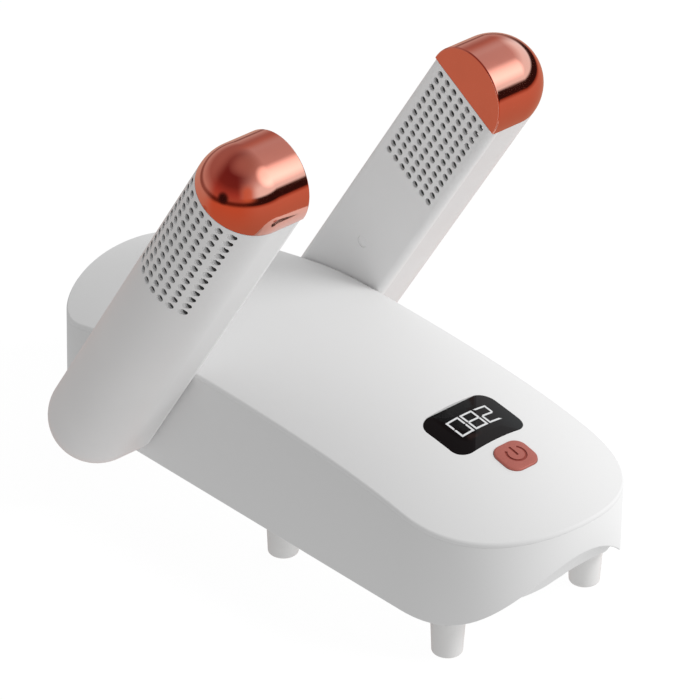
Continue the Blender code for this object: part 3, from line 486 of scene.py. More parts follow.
def shade(mesh):
    mesh.shade_smooth()
    mesh.set_sharp_from_angle(angle=SHARP_ANGLE)


def mesh_from(name, shape):
    weld(shape)
    bmesh.ops.recalc_face_normals(shape, faces=shape.faces)
    mesh = bpy.data.meshes.new(name)
    shape.to_mesh(mesh)
    shape.free()
    shade(mesh)
    return mesh


def skin(rings, hoop=False, shape=None):
    """Quads over a list of closed rings. A hoop joins its last ring to its first one."""
    shape = shape or bmesh.new()
    rows = [[shape.verts.new(point) for point in ring] for ring in rings]
    pairs = list(zip(rows, rows[1:]))
    if hoop:
        pairs.append((rows[-1], rows[0]))
    count = len(rings[0])
    for low, high in pairs:
        for i in range(count):
            j = (i + 1) % count
            shape.faces.new((low[i], low[j], high[j], high[i]))
    return shape


def loft(name, rings, hoop=False):
    return mesh_from(name, skin(rings, hoop))


def turned_rings(profile, steps, centre=(0.0, 0.0)):
    """Rings of a (radius, height) profile turned about Z."""
    x, y = centre
    angles = [2 * math.pi * i / steps for i in range(steps)]
    return [
        [Vector((x + radius * math.cos(a), y + radius * math.sin(a), height)) for a in angles]
        for radius, height in profile
    ]


def bore_profile(radius, low, high):
    """The (radius, height) profile of a round cutter."""
    return [(0.0, low), (radius, low), (radius, high), (0.0, high)]


def prism_into(shape, outline, bottom, top):
    """Add a closed prism over a plan outline to a bmesh, with flat ends."""
    rows = [[shape.verts.new((x, y, height)) for x, y in outline] for height in (bottom, top)]
    for i in range(len(outline)):
        j = (i + 1) % len(outline)
        shape.faces.new((rows[0][i], rows[0][j], rows[1][j], rows[1][i]))
    shape.faces.new(list(reversed(rows[0])))
    shape.faces.new(rows[1])


def add_object(name, data):
    made = bpy.data.objects.new(name, data)
    bpy.context.scene.collection.objects.link(made)
    return made


def new_piece(name, mesh, finish, body, slot, *nodes):
    """Put a mesh in the scene as a piece that rides on a body and stands for CAD nodes."""
    piece = add_object(name, mesh)
    if finish:
        mesh.materials.append(FINISHES[finish])
    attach(piece, body)
    if nodes:
        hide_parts(*nodes)
    return piece


def carve(mesh, cutters, name):
    """Subtract closed meshes from a mesh and return the result, materials included."""
    block = add_object(name, mesh)
    made = [block]
    for cutter in cutters:
        tool = add_object("tool", cutter)
        made.append(tool)
        step = block.modifiers.new("carve", "BOOLEAN")
        step.operation = "DIFFERENCE"
        step.solver = "EXACT"
        step.material_mode = "TRANSFER"
        step.object = tool
    bpy.context.view_layer.update()
    result = bpy.data.meshes.new_from_object(
        block.evaluated_get(bpy.context.evaluated_depsgraph_get())
    )
    for thing in made:
        bpy.data.objects.remove(thing)
    result.name = name
    shade(result)
    return result


def set_true_normals(mesh, normal_at, tolerance=NORMAL_TOLERANCE):
    """Give corners the exact surface normal where a face lies along the exact surface."""
    limit = math.cos(math.radians(tolerance))
    normals = [Vector(corner.vector) for corner in mesh.corner_normals]
    for face in mesh.polygons:
        exact = normal_at(Vector(face.center))
        if exact is None or exact.dot(face.normal) < limit:
            continue
        for corner in face.loop_indices:
            point = mesh.vertices[mesh.loops[corner].vertex_index].co
            found = normal_at(point)
            if found is not None:
                normals[corner] = found
    mesh.normals_split_custom_set(normals)


def mirrored(mesh, name):
    """A copy reflected from the left side to the right."""
    copy = mesh.copy()
    copy.name = name
    copy.transform(Matrix.Diagonal((-1.0, 1.0, 1.0, 1.0)))
    copy.flip_normals()
    return copy


def reflected(normal_at):
    """The exact normals of the reflected surface."""

    def reflected_at(point):
        found = normal_at(Vector((-point.x, point.y, point.z)))
        return None if found is None else Vector((-found.x, found.y, found.z))

    return reflected_at


# ---------------- base body surfaces


def ramp(distance, blend):
    """Zero before the start, the distance itself well after it, and smooth between."""
    return (distance + math.hypot(distance, blend)) / 2


def deck_height(x, y):
    crown = DECK_CROWN * (1 - (x / BODY_HALF_WIDTH) ** 2)
    front = FRONT_FALL * ramp(FRONT_BREAK - y, FRONT_BLEND)
    rear = REAR_FALL * ramp(y - REAR_BREAK, REAR_BLEND)
    return DECK_EDGE + crown - front - rear


def deck_slope(x, y):
    step = 1e-5
    return (
        (deck_height(x + step, y) - deck_height(x - step, y)) / (2 * step),
        (deck_height(x, y + step) - deck_height(x, y - step)) / (2 * step),
    )


def deck_normal(point):
    along_x, along_y = deck_slope(point.x, point.y)
    return Vector((-along_x, -along_y, 1.0)).normalized()


def smooth(share):
    """A smooth step from 0 to 1."""
    share = min(1.0, max(0.0, share))
    return share * share * (3 - 2 * share)


def arch_lift(x, y):
    """How far the front arch raises the lower edge."""
    across = max(0.0, 1 - (x / BODY_HALF_WIDTH) ** 2) ** ARCH_POWER
    return ARCH_HEIGHT * across * smooth((ARCH_END_Y - y) / ARCH_BLEND)


def lower_edge(x, y):
    return UNDERSIDE + arch_lift(x, y)


def tray_floor(x, y):
    """The underside of the tray: flat between the feet, then up to the arch like a bow."""
    across = abs(x / BODY_HALF_WIDTH) ** FRONT_POWER
    along = max(0.0, (FRONT_START - y) / FRONT_END) ** FRONT_POWER
    reach = (across + along) ** (1 / FRONT_POWER)
    bow = smooth((reach - BOW_START) / (1 - BOW_START)) * smooth((BOW_END_Y - y) / BOW_BLEND)
    return UNDERSIDE + GAP + arch_lift(x, y) * bow


def round_end(start, depth, power, facing):
    """Plan points of one superellipse end, anticlockwise; facing is +1 at the rear."""
    points = []
    for i in range(END_STEPS + 1):
        angle = math.pi * i / END_STEPS
        across = math.copysign(abs(math.cos(angle)) ** (2 / power), math.cos(angle))
        along = abs(math.sin(angle)) ** (2 / power)
        points.append((facing * BODY_HALF_WIDTH * across, start + facing * depth * along))
    return points


def make_plan():
    """Plan points of the base, anticlockwise, each with its outward direction."""
    points = round_end(REAR_START, REAR_END, REAR_POWER, 1)
    side = [
        REAR_START + (FRONT_START - REAR_START) * i / SIDE_STEPS for i in range(1, SIDE_STEPS)
    ]
    points += [(-BODY_HALF_WIDTH, y) for y in side]
    points += round_end(FRONT_START, FRONT_END, FRONT_POWER, -1)
    points += [(BODY_HALF_WIDTH, y) for y in reversed(side)]
    plan = []
    for i, (x, y) in enumerate(points):
        before = Vector(points[i - 1])
        after = Vector(points[(i + 1) % len(points)])
        run = (after - before).normalized()
        plan.append((x, y, run.y, -run.x))
    return plan


PLAN = make_plan()


def body_ring(surface, inset, lift, scale=1.0):
    """A ring on a height surface. Scale below one shrinks it towards the long centre line."""
    ring = []
    for x, y, out_x, out_y in PLAN:
        x, y = x - inset * out_x, y - inset * out_y
        spine = min(max(y, FRONT_START), REAR_START)
        x, y = x * scale, spine + (y - spine) * scale
        ring.append(Vector((x, y, surface(x, y) + lift)))
    return ring


def rounded_rectangle(width, length, radius, centre=(0.0, 0.0), steps=CORNER_STEPS):
    points = []
    for right, up, start in ((1, 1, 0), (-1, 1, 90), (-1, -1, 180), (1, -1, 270)):
        x = centre[0] + right * (width / 2 - radius)
        y = centre[1] + up * (length / 2 - radius)
        for i in range(steps + 1):
            angle = math.radians(start + 90 * i / steps)
            points.append((x + radius * math.cos(angle), y + radius * math.sin(angle)))
    return points


def corner_arc(radius, steps):
    """(inset, drop) pairs of a quarter round, from a flat top round to an upright side."""
    return [
        (radius * (1 - math.sin(angle)), radius * (1 - math.cos(angle)))
        for angle in (math.pi / 2 * i / steps for i in range(steps + 1))
    ]


def deck_pad(name, grow, rise, depth, edge=0.0):
    """The display's outline, from rise above the deck to depth below it, on the deck's curve."""
    levels = [(grow, rise)]
    if edge:
        levels = [(grow - inset, rise - drop) for inset, drop in corner_arc(edge, steps=4)]

    def level(extra, lift, scale=1.0):
        width, length = DISPLAY_WIDTH + 2 * extra, DISPLAY_LENGTH + 2 * extra
        ring = []
        for x, y in rounded_rectangle(width, length, DISPLAY_CORNER + extra):
            x, y = x * scale, DISPLAY_Y + y * scale
            ring.append(Vector((x, y, deck_height(x, y) + lift)))
        return ring

    rings = [level(levels[0][0], rise, scale) for scale in (0.0, 0.2, 0.4, 0.6, 0.8)]
    rings += [level(extra, lift) for extra, lift in levels]
    rings += [level(grow, -depth, scale) for scale in (1.0, 0.5, 0.0)]
    return loft(name, rings)


def deck_matrix(y):
    """A frame on the deck's centre line, its Z along the deck's normal."""
    slope = deck_slope(0.0, y)[1]
    place = Matrix.Translation((0.0, y, deck_height(0.0, y)))
    return place @ Matrix.Rotation(math.atan(slope), 4, "X")


# ---------------- base casings


def make_housing():
    """The upright wall of the base, with its two hinge holes and the inlet hole."""

    def cover_line(x, y):
        return deck_height(x, y) - SKIRT_DEPTH - PARTING

    round_edge = corner_arc(WALL_EDGE_RADIUS, steps=4)
    rings = [body_ring(lower_edge, inset, drop) for inset, drop in round_edge]
    rings += [
        body_ring(cover_line, 0.0, -PARTING_EDGE),
        body_ring(cover_line, PARTING_ROUND, -PARTING_ROUND),
        body_ring(cover_line, PARTING_EDGE, 0.0),
        body_ring(cover_line, WALL, 0.0),
        body_ring(lower_edge, WALL, 0.0),
    ]
    mesh = loft("housing_casing", rings, hoop=True)
    tools = []
    for side in (-1, 1):
        reach = (BODY_HALF_WIDTH - 2 * WALL, BODY_HALF_WIDTH + OVERSHOOT)
        low, high = sorted(side * x for x in reach)
        tool = loft("hinge_hole", turned_rings(bore_profile(SPIGOT_HOLE, low, high), steps=48))
        place = Matrix.Translation((0.0, PIVOT_Y, PIVOT_Z))
        tool.transform(place @ Matrix.Rotation(math.radians(90), 4, "Y"))
        tools.append(tool)
    low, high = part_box("power_inlet")
    left, right, bottom, top = low.x - GAP, high.x + GAP, low.z - GAP, high.z + GAP
    outline = [(left, bottom), (right, bottom), (right, top), (left, top)]
    slot = bmesh.new()
    prism_into(slot, outline, REAR_Y - 3 * WALL, REAR_Y + OVERSHOOT)
    tool = mesh_from("inlet_hole", slot)
    tool.transform(Matrix(((1, 0, 0, 0), (0, 0, 1, 0), (0, 1, 0, 0), (0, 0, 0, 1))))
    tool.flip_normals()
    tools.append(tool)
    casing = carve(mesh, tools, "housing_casing")
    new_piece("housing_casing", casing, "shell", "base", "white_shell", "housing")


def button_outline(extra):
    """The power key's plan outline, grown by extra."""
    return rounded_rectangle(
        BUTTON_WIDTH + 2 * extra, BUTTON_LENGTH + 2 * extra, BUTTON_CORNER + extra
    )


def make_cover():
    """The domed deck with its skirt, the tongue inside the wall and the two panel holes."""
    tongue = WALL + GAP
    inner = tongue + TONGUE_THICKNESS
    scales = [i / DECK_RINGS for i in range(DECK_RINGS)]
    crease = corner_arc(CREASE_RADIUS, steps=7)
    rings = [body_ring(deck_height, CREASE_RADIUS, 0.0, scale) for scale in scales]
    rings += [body_ring(deck_height, inset, -drop) for inset, drop in crease]
    rings += [
        body_ring(deck_height, 0.0, -SKIRT_DEPTH + PARTING_EDGE),
        body_ring(deck_height, PARTING_ROUND, -SKIRT_DEPTH + PARTING_ROUND),
        body_ring(deck_height, PARTING_EDGE, -SKIRT_DEPTH),
        body_ring(deck_height, tongue, -SKIRT_DEPTH),
        body_ring(deck_height, tongue, -TONGUE_DEPTH),
        body_ring(deck_height, inner, -TONGUE_DEPTH),
    ]
    rings += [body_ring(deck_height, inner, -WALL, scale) for scale in (1.0, 0.85, 0.6, 0.3, 0.0)]
    mesh = loft("deck_cover", rings)
    hole = bmesh.new()
    prism_into(hole, button_outline(FINE_GAP), -2 * WALL, OVERSHOOT)
    button_hole = mesh_from("button_hole", hole)
    button_hole.transform(deck_matrix(BUTTON_Y))
    window_hole = deck_pad("window_hole", FINE_GAP, OVERSHOOT, 2 * WALL)
    cover = carve(mesh, [window_hole, button_hole], "deck_cover")
    set_true_normals(cover, deck_normal, tolerance=8.0)
    new_piece("deck_cover", cover, "shell", "base", "white_shell", "top_cover")


def make_tray():
    """The floor of the base, with its bow, its upturned rim, the grille and the screw holes."""
    inset = WALL + 2 * GAP
    inner = inset + WALL
    scales = [i / TRAY_RINGS for i in range(TRAY_RINGS)]
    round_edge = corner_arc(TRAY_EDGE_RADIUS, steps=6)
    rings = [body_ring(tray_floor, inset + TRAY_EDGE_RADIUS, 0.0, scale) for scale in scales]
    rings += [body_ring(tray_floor, inset + inwards, lift) for inwards, lift in round_edge]
    rings += [body_ring(tray_floor, inset, TRAY_RIM), body_ring(tray_floor, inner, TRAY_RIM)]
    rings += [body_ring(tray_floor, inner, WALL, scale) for scale in (1.0, *reversed(scales))]
    mesh = loft("tray_floor", rings)
    low, high = UNDERSIDE - OVERSHOOT, UNDERSIDE + WALL + OVERSHOOT
    tools = []
    grille = bmesh.new()
    for i in range(GRILLE_SLOTS):
        x = (i - (GRILLE_SLOTS - 1) / 2) * GRILLE_PITCH
        length = 2 * math.sqrt(GRILLE_RADIUS**2 - x**2)
        slot = rounded_rectangle(
            GRILLE_SLOT_WIDTH, length, GRILLE_SLOT_CORNER, (x, GRILLE_Y), steps=6
        )
        prism_into(grille, slot, low, high)
    tools.append(mesh_from("intake_slots", grille))
    holes = [(TRAY_SCREW_HOLE, centre) for centre in POSTS.values()]
    holes += [(FOOT_STUD_HOLE, (side * FOOT_X, y)) for y in FOOT_YS.values() for side in (-1, 1)]
    for radius, centre in holes:
        profile = bore_profile(radius, low, high)
        tools.append(loft("tray_hole", turned_rings(profile, steps=32, centre=centre)))
    tray = carve(mesh, tools, "tray_floor")
    new_piece("tray_floor", tray, "tray", "base", "white_shell", "base_tray")


def make_feet():
    """Six tapered pegs, each with a stud up through the tray."""
    stud_top = UNDERSIDE + FOOT_STUD_LENGTH
    round_edge = corner_arc(FOOT_EDGE_RADIUS, steps=6)
    profile = [(0.0, 0.0), (FOOT_BOTTOM_RADIUS - FOOT_FACE_INSET, 0.0)]
    profile += [(FOOT_BOTTOM_RADIUS - inset, lift) for inset, lift in round_edge]
    profile += [
        (FOOT_TOP_RADIUS - FOOT_FLARE, UNDERSIDE - FOOT_FLARE_HEIGHT),
        (FOOT_TOP_RADIUS, UNDERSIDE),
        (FOOT_STUD_RADIUS, UNDERSIDE),
        (FOOT_STUD_RADIUS, stud_top),
        (0.0, stud_top),
    ]
    for row, y in FOOT_YS.items():
        for side, name in ((-1, "left"), (1, "right")):
            rings = turned_rings(profile, steps=56, centre=(side * FOOT_X, y))
            node = f"foot_{row}_{name}"
            new_piece(f"{node}_peg", loft("foot_peg", rings), "foot", "base", "white_foot", node)


# ---------------- control panel


def make_window():
    """The display's black glass, on the deck's curve."""
    mesh = deck_pad("display_glass", 0.0, DISPLAY_RISE, DISPLAY_THICKNESS, GLASS_EDGE_RADIUS)
    set_true_normals(mesh, deck_normal, tolerance=5.0)
    new_piece("display_glass", mesh, "glass", "base", "display_black", "display_window")


def segment_outline(kind):
    """Corner points of one seven-segment bar, about the digit's centre."""
    w, h, s = DIGIT_WIDTH / 2, DIGIT_HEIGHT / 2, DIGIT_STROKE
    slit, gap, mid = DIGIT_SLIT, DIGIT_BREAK, DIGIT_STROKE / 2
    if kind == "a":
        return [(-w + slit, h), (-w + s + slit, h - s), (w - s - slit, h - s), (w - slit, h)]
    if kind == "d":
        return [(-w + slit, -h), (w - slit, -h), (w - s - slit, -h + s), (-w + s + slit, -h + s)]
    if kind == "g":
        x = w - mid - slit
        low, high = [(-x + mid, -mid), (x - mid, -mid)], [(x - mid, mid), (-x + mid, mid)]
        return [(-x, 0.0), *low, (x, 0.0), *high]
    outline = [(w, gap), (w, h - slit), (w - s, h - s - slit), (w - s, mid + slit), (w - mid, gap)]
    if kind not in "bf":
        outline = [(x, -y) for x, y in reversed(outline)]
    if kind not in "bc":
        outline = [(-x, y) for x, y in reversed(outline)]
    return outline


def make_digits():
    """Raised-ink segments lying on the curve of the glass, closed above and below."""
    shape = bmesh.new()
    for place, digit in enumerate(READING):
        centre_x = DIGIT_CENTRE[0] + (place - 1) * DIGIT_PITCH
        for kind in SEGMENTS[digit]:
            outline = [(centre_x + x, DIGIT_CENTRE[1] + y) for x, y in segment_outline(kind)]
            prism_into(shape, outline, INK_BOTTOM, INK_TOP)
    for _ in range(2):
        long_edges = [e for e in shape.edges if e.calc_length() > LONGEST_DIGIT_EDGE]
        bmesh.ops.subdivide_edges(shape, edges=long_edges, cuts=1)
    bmesh.ops.triangulate(shape, faces=[f for f in shape.faces if len(f.verts) > 4])
    for vertex in shape.verts:
        vertex.co.z += deck_height(vertex.co.x, vertex.co.y)
    mesh = mesh_from("display_digits", shape)
    new_piece("display_digits", mesh, "digits", "base", "display_black")


def icon_tool():
    """The power mark as a closed cutter: an open ring and an upright bar."""
    shape = bmesh.new()
    x, y = ICON_CENTRE
    inner, outer = ICON_RADIUS - ICON_STROKE / 2, ICON_RADIUS + ICON_STROKE / 2
    start, span = math.pi / 2 + ICON_OPENING, 2 * (math.pi - ICON_OPENING)
    angles = [start + span * i / ICON_STEPS for i in range(ICON_STEPS + 1)]
    outline = [(x + outer * math.cos(a), y + outer * math.sin(a)) for a in angles]
    outline += [(x + inner * math.cos(a), y + inner * math.sin(a)) for a in reversed(angles)]
    prism_into(shape, outline, ICON_FLOOR, OVERSHOOT / 2)
    bar = rounded_rectangle(
        ICON_STROKE, ICON_BAR_LENGTH, ICON_BAR_CORNER, (x, y + ICON_BAR_OFFSET), steps=4
    )
    prism_into(shape, bar, ICON_FLOOR, OVERSHOOT / 2)
    mesh = mesh_from("icon_tool", shape)
    mesh.materials.append(FINISHES["icon"])
    return mesh


def make_button():
    """The crowned power key with its sunk mark."""
    half = BUTTON_WIDTH / 2

    def level(extra, height):
        return [Vector((x, y, height)) for x, y in button_outline(extra)]

    rings = []
    border = level(-KEY_EDGE_RADIUS, 0.0)
    for scale in (0.0, 0.15, 0.3, 0.45, 0.6, 0.75, 0.88):
        reach = scale * (half - KEY_EDGE_RADIUS) / half
        height = KEY_CROWN * (1 - KEY_CROWN_FALL * reach**2)
        rings.append([Vector((p.x * scale, p.y * scale, height)) for p in border])
    for inset, drop in corner_arc(KEY_EDGE_RADIUS, steps=6):
        rings.append(level(-inset, KEY_CROWN * KEY_EDGE_SHARE - drop * KEY_EDGE_SHARE))
    rings += [level(0.0, -BUTTON_DEPTH), [Vector((0.0, 0.0, -BUTTON_DEPTH))] * len(border)]
    mesh = loft("power_key", rings)
    mesh.materials.append(FINISHES["button"])
    key = carve(mesh, [icon_tool()], "power_key")
    key.transform(deck_matrix(BUTTON_Y))
    new_piece("power_key", key, None, "power_button", "copper_red", "power_button")


# ---------------- arms


ARM_PLACE = Matrix.Translation((0.0, PIVOT_Y, PIVOT_Z)) @ Matrix.Rotation(ARM_TILT, 4, "X")


def ellipse_profile(inset):
    """The rounded outer side of an arm, from its side wall to its crown, moved in by inset."""
    across, depth = ARM_RADIUS - inset, ARM_DOME_DEPTH - inset
    angles = [math.pi / 2 * i / ARM_CURVE_STEPS for i in range(ARM_CURVE_STEPS + 1)]
    return [(across * math.cos(a), ARM_SIDE_DEPTH + depth * math.sin(a)) for a in angles]


def arm_path(radius, depth, seam, tip, bevel=0.0):
    """Half a stadium round the left arm's tip or lower end, ending a bevel from the seam plane."""
    centre = ARM_LENGTH if tip else 0.0
    facing = 1 if tip else -1
    path = [(-radius, seam + facing * bevel)]
    for i in range(ARM_END_STEPS + 1):
        angle = math.pi * i / ARM_END_STEPS
        path.append((-radius * math.cos(angle), centre + facing * radius * math.sin(angle)))
    path.append((radius, seam + facing * bevel))
    return [Vector((-ARM_INNER_X - depth, y, z)) for y, z in path]


def strip(shape, low, high):
    """Quads between two open rows of vertices."""
    return [
        shape.faces.new((low[i], low[i + 1], high[i + 1], high[i])) for i in range(len(low) - 1)
    ]


def across_arm(rings, across=0.0, along=0.0):
    """Rings turned about Z, laid straight across the left arm, in the arm's frame."""
    return [
        [Vector((-ARM_INNER_X - p.z, across + p.x, along + p.y)) for p in ring] for ring in rings
    ]


def hole_tools(depth_at, flare_out, finish):
    """Cutters for the air holes, straight across an arm, flared where they meet its face, their
    deep walls in the dark grey of painted shade.

    depth_at gives the depth of the face at a distance across the arm; flare_out is -1 for
    the inner face and +1 for the outer one.
    """
    shape = bmesh.new()
    for row in range(ROWS):
        along = ARM_SEAM - FIRST_ROW - row * ROW_PITCH
        for column in range(HOLES):
            across = (column - (HOLES - 1) / 2) * HOLE_PITCH
            face = depth_at(across)
            profile = [
                (0.0, face - flare_out * ARM_CUT_DEPTH),
                (HOLE_RADIUS, face - flare_out * ARM_CUT_DEPTH),
                (HOLE_RADIUS, face - flare_out * HOLE_SHADE_DEPTH),
                (HOLE_RADIUS, face - flare_out * HOLE_FLARE),
                (HOLE_RADIUS + HOLE_FLARE, face),
                (HOLE_RADIUS + HOLE_FLARE, face + flare_out * OVERSHOOT),
                (0.0, face + flare_out * OVERSHOOT),
            ]
            rings = across_arm(turned_rings(profile, HOLE_SIDES), across, along)
            first = len(shape.faces)
            skin(rings, shape=shape)
            shape.faces.ensure_lookup_table()
            # The deep wall and floor of each hole take the dark grey of painted shade.
            for face_index in range(first, first + 2 * HOLE_SIDES):
                shape.faces[face_index].material_index = 1
    mesh = mesh_from("hole_tools", shape)
    finish_with_inside_shade(mesh, finish)
    return mesh


def outer_depth(across):
    return ARM_SIDE_DEPTH + ARM_DOME_DEPTH * math.sqrt(1 - (across / ARM_RADIUS) ** 2)


def shell_normal(point):
    """The exact outward normal of the left arm's outer casing, in the arm's frame."""
    depth = -ARM_INNER_X - point.x
    y, z = point.y, min(point.z, 0.0) + max(point.z - ARM_LENGTH, 0.0)
    rise = max(0.0, depth - ARM_SIDE_DEPTH) / ARM_DOME_DEPTH**2
    normal = Vector((-rise, y / ARM_RADIUS**2, z / ARM_RADIUS**2))
    return normal.normalized() if normal.length > 1e-9 else None


def face_normal(edge):
    """The exact outward normals of a flat inner face with a border rounded by edge."""

    def normal_at(point):
        depth = -ARM_INNER_X - point.x
        if depth > edge:
            return shell_normal(point)
        outward = Vector((0.0, point.y, min(point.z, 0.0) + max(point.z - ARM_LENGTH, 0.0)))
        beyond = outward.length - (ARM_RADIUS - edge)
        if beyond <= 0.0:
            return Vector((1.0, 0.0, 0.0))
        outward *= beyond / outward.length
        return Vector((edge - depth, outward.y, outward.z)).normalized()

    return normal_at


def rounded_edge(radius, steps):
    """The round edge of an arm's flat inner face, as (half width, depth) points."""
    return [
        (ARM_RADIUS - radius + radius * math.sin(angle), radius * (1 - math.cos(angle)))
        for angle in (math.pi / 2 * i / steps for i in range(steps + 1))
    ]


def make_plate_mesh():
    """The flat inner face, with its tongue, its air holes and the hinge and plug holes."""
    tongue = ARM_RADIUS - ARM_WALL - GAP
    inner = tongue - ARM_TONGUE_THICKNESS
    edge = rounded_edge(PLATE_EDGE_RADIUS, steps=10)
    profile = [
        (0.0, 0.0),
        *edge,
        (ARM_RADIUS, PLATE_RIM),
        (tongue, PLATE_RIM),
        (tongue, ARM_TONGUE_DEPTH),
        (inner, ARM_TONGUE_DEPTH),
        (inner, ARM_WALL),
        (0.0, ARM_WALL),
    ]
    plate = casing_mesh("arm_plate", profile, "plate", shaded_from=len(edge) + 4)
    pivot = bore_profile(SPIGOT_HOLE, -OVERSHOOT, ARM_CUT_DEPTH)
    recess = bore_profile(PLUG_RADIUS + PLUG_GAP, -OVERSHOOT, PLUG_RECESS)
    tools = [
        loft("pivot_hole", across_arm(turned_rings(pivot, steps=48))),
        loft("plug_recess", across_arm(turned_rings(recess, steps=40), along=PLUG_ALONG_ARM)),
        hole_tools(lambda across: 0.0, -1, "plate"),
    ]
    return carve(plate, tools, "arm_plate")


def make_shell_mesh():
    """The rounded outer casing with its air holes."""
    joint = PLATE_RIM + PLATE_SEAM
    profile = [
        *reversed(ellipse_profile(0.0)),
        (ARM_RADIUS, joint),
        (ARM_RADIUS - ARM_WALL, joint),
        *ellipse_profile(ARM_WALL),
    ]
    shell = casing_mesh("arm_shell", profile, "arm", shaded_from=ARM_CURVE_STEPS + 3)
    return carve(shell, [hole_tools(outer_depth, 1, "arm")], "arm_shell")


def make_plug_mesh():
    """The small round plug low on the inner face."""
    profile = [
        (0.0, PLUG_FACE),
        (PLUG_RADIUS - PLUG_CHAMFER, PLUG_FACE),
        (PLUG_RADIUS, PLUG_SHOULDER),
        (PLUG_RADIUS, PLUG_BOTTOM),
        (0.0, PLUG_BOTTOM),
    ]
    return loft("screw_plug", across_arm(turned_rings(profile, steps=40), along=PLUG_ALONG_ARM))


def finish_with_inside_shade(mesh, finish):
    """Give a mesh an outer finish and, as its faces' second material, the dark grey of painted
    shade.
    """
    mesh.materials.append(FINISHES[finish])
    mesh.materials.append(FINISHES["inside_shade"])


def casing_mesh(name, profile, finish, shaded_from):
    """Sweep one closed (half width, depth) profile round the lower end of an arm.

    The faces from the given profile point onwards, the inside, get the dark grey of painted shade.
    """
    shape = bmesh.new()
    rows = []
    for across, depth in profile:
        path = arm_path(across, depth, ARM_SEAM - FINE_GAP / 2, tip=False)
        rows.append([shape.verts.new(point) for point in path])
    for k, (low, high) in enumerate(zip(rows, rows[1:])):
        for face in strip(shape, low, high):
            face.material_index = int(k >= shaded_from)
    shape.faces.new([row[0] for row in rows] + [row[-1] for row in reversed(rows)])
    weld(shape)
    bmesh.ops.dissolve_limit(
        shape, angle_limit=1e-4, verts=shape.verts, edges=shape.edges, delimit={"MATERIAL"}
    )
    split_between_holes(shape)
    mesh = mesh_from(name, shape)
    finish_with_inside_shade(mesh, finish)
    return mesh


def split_between_holes(shape):
    """Cut the faces along lines between the air holes, so that none takes more than one hole."""
    across = [(k - HOLES / 2) * HOLE_PITCH for k in range(HOLES + 1)]
    along = [ARM_SEAM - FIRST_ROW + (0.5 - k) * ROW_PITCH for k in range(ROWS + 1)]
    planes = [((0.0, y, 0.0), (0.0, 1.0, 0.0)) for y in across]
    planes += [((0.0, 0.0, z), (0.0, 0.0, 1.0)) for z in along]
    for point, normal in planes:
        everything = [*shape.verts, *shape.edges, *shape.faces]
        bmesh.ops.bisect_plane(
            shape, geom=everything, dist=1e-7, plane_co=point, plane_no=normal
        )


def make_cap_mesh():
    """The hollow copper tip: flat inner face, small rounded edges and a bevelled seam."""
    seam = ARM_SEAM + FINE_GAP / 2
    bevel = SEAM_BEVEL
    middle = ARM_RADIUS / 2
    edge = rounded_edge(CAP_EDGE_RADIUS, steps=5)
    outside = [(0.0, 0.0), (middle, 0.0), *edge, *ellipse_profile(0.0)]
    ends = [(0.0, bevel), (middle, bevel)]
    ends += [(across - bevel, max(depth, bevel)) for across, depth in edge]
    ends += ellipse_profile(bevel)
    inside = [(0.0, ARM_WALL), (middle, ARM_WALL)]
    inside += [(ARM_RADIUS - ARM_WALL, ARM_WALL)] * len(edge)
    inside += ellipse_profile(ARM_WALL)

    shape = bmesh.new()
    outer, inner = [], []
    for (across, depth), (end_across, end_depth) in zip(outside, ends):
        first, last = (
            Vector((-ARM_INNER_X - end_depth, side * end_across, seam)) for side in (-1, 1)
        )
        path = [first, *arm_path(across, depth, seam, tip=True, bevel=bevel), last]
        outer.append([shape.verts.new(point) for point in path])
    for across, depth in inside:
        path = arm_path(across, depth, seam, tip=True)
        inner.append([shape.verts.new(point) for point in path])
    for rows in (outer, inner):
        for low, high in zip(rows, rows[1:]):
            strip(shape, low, high)
    for end in (0, -1):
        strip(shape, [row[end] for row in outer], [row[end] for row in inner])
    # A web inside the wall joins the two skins along the crown line.
    crown, under = outer[-1], inner[-1]
    strip(shape, crown[1:-1], under)
    shape.faces.new((crown[0], crown[1], under[0]))
    shape.faces.new((crown[-1], crown[-2], under[-1]))
    return mesh_from("tip_cap", shape)


def make_arms():
    """Both arms: the left one's meshes and their mirror images."""
    plate_normal, cap_normal = face_normal(PLATE_EDGE_RADIUS), face_normal(CAP_EDGE_RADIUS)
    kinds = (
        ("plate", make_plate_mesh(), None, "white_arm", "arm_plate", plate_normal),
        ("shell", make_shell_mesh(), None, "white_arm", "arm_shell", shell_normal),
        ("tip", make_cap_mesh(), "copper", "copper_chrome", "tip_cap", cap_normal),
        ("plug", make_plug_mesh(), "plate", "white_arm", "screw_plug", None),
    )
    for label, mesh, finish, slot, node, normal_at in kinds:
        right = mirrored(mesh, f"right_{label}")
        if normal_at:
            set_true_normals(mesh, normal_at)
            set_true_normals(right, reflected(normal_at))
        for side, copy in (("left", mesh), ("right", right)):
            copy.transform(ARM_PLACE)
            name = f"{side}_arm_{label}_skin"
            new_piece(name, copy, finish, f"{side}_arm", slot, f"{side}_{node}")


# ---------------- carried CAD nodes


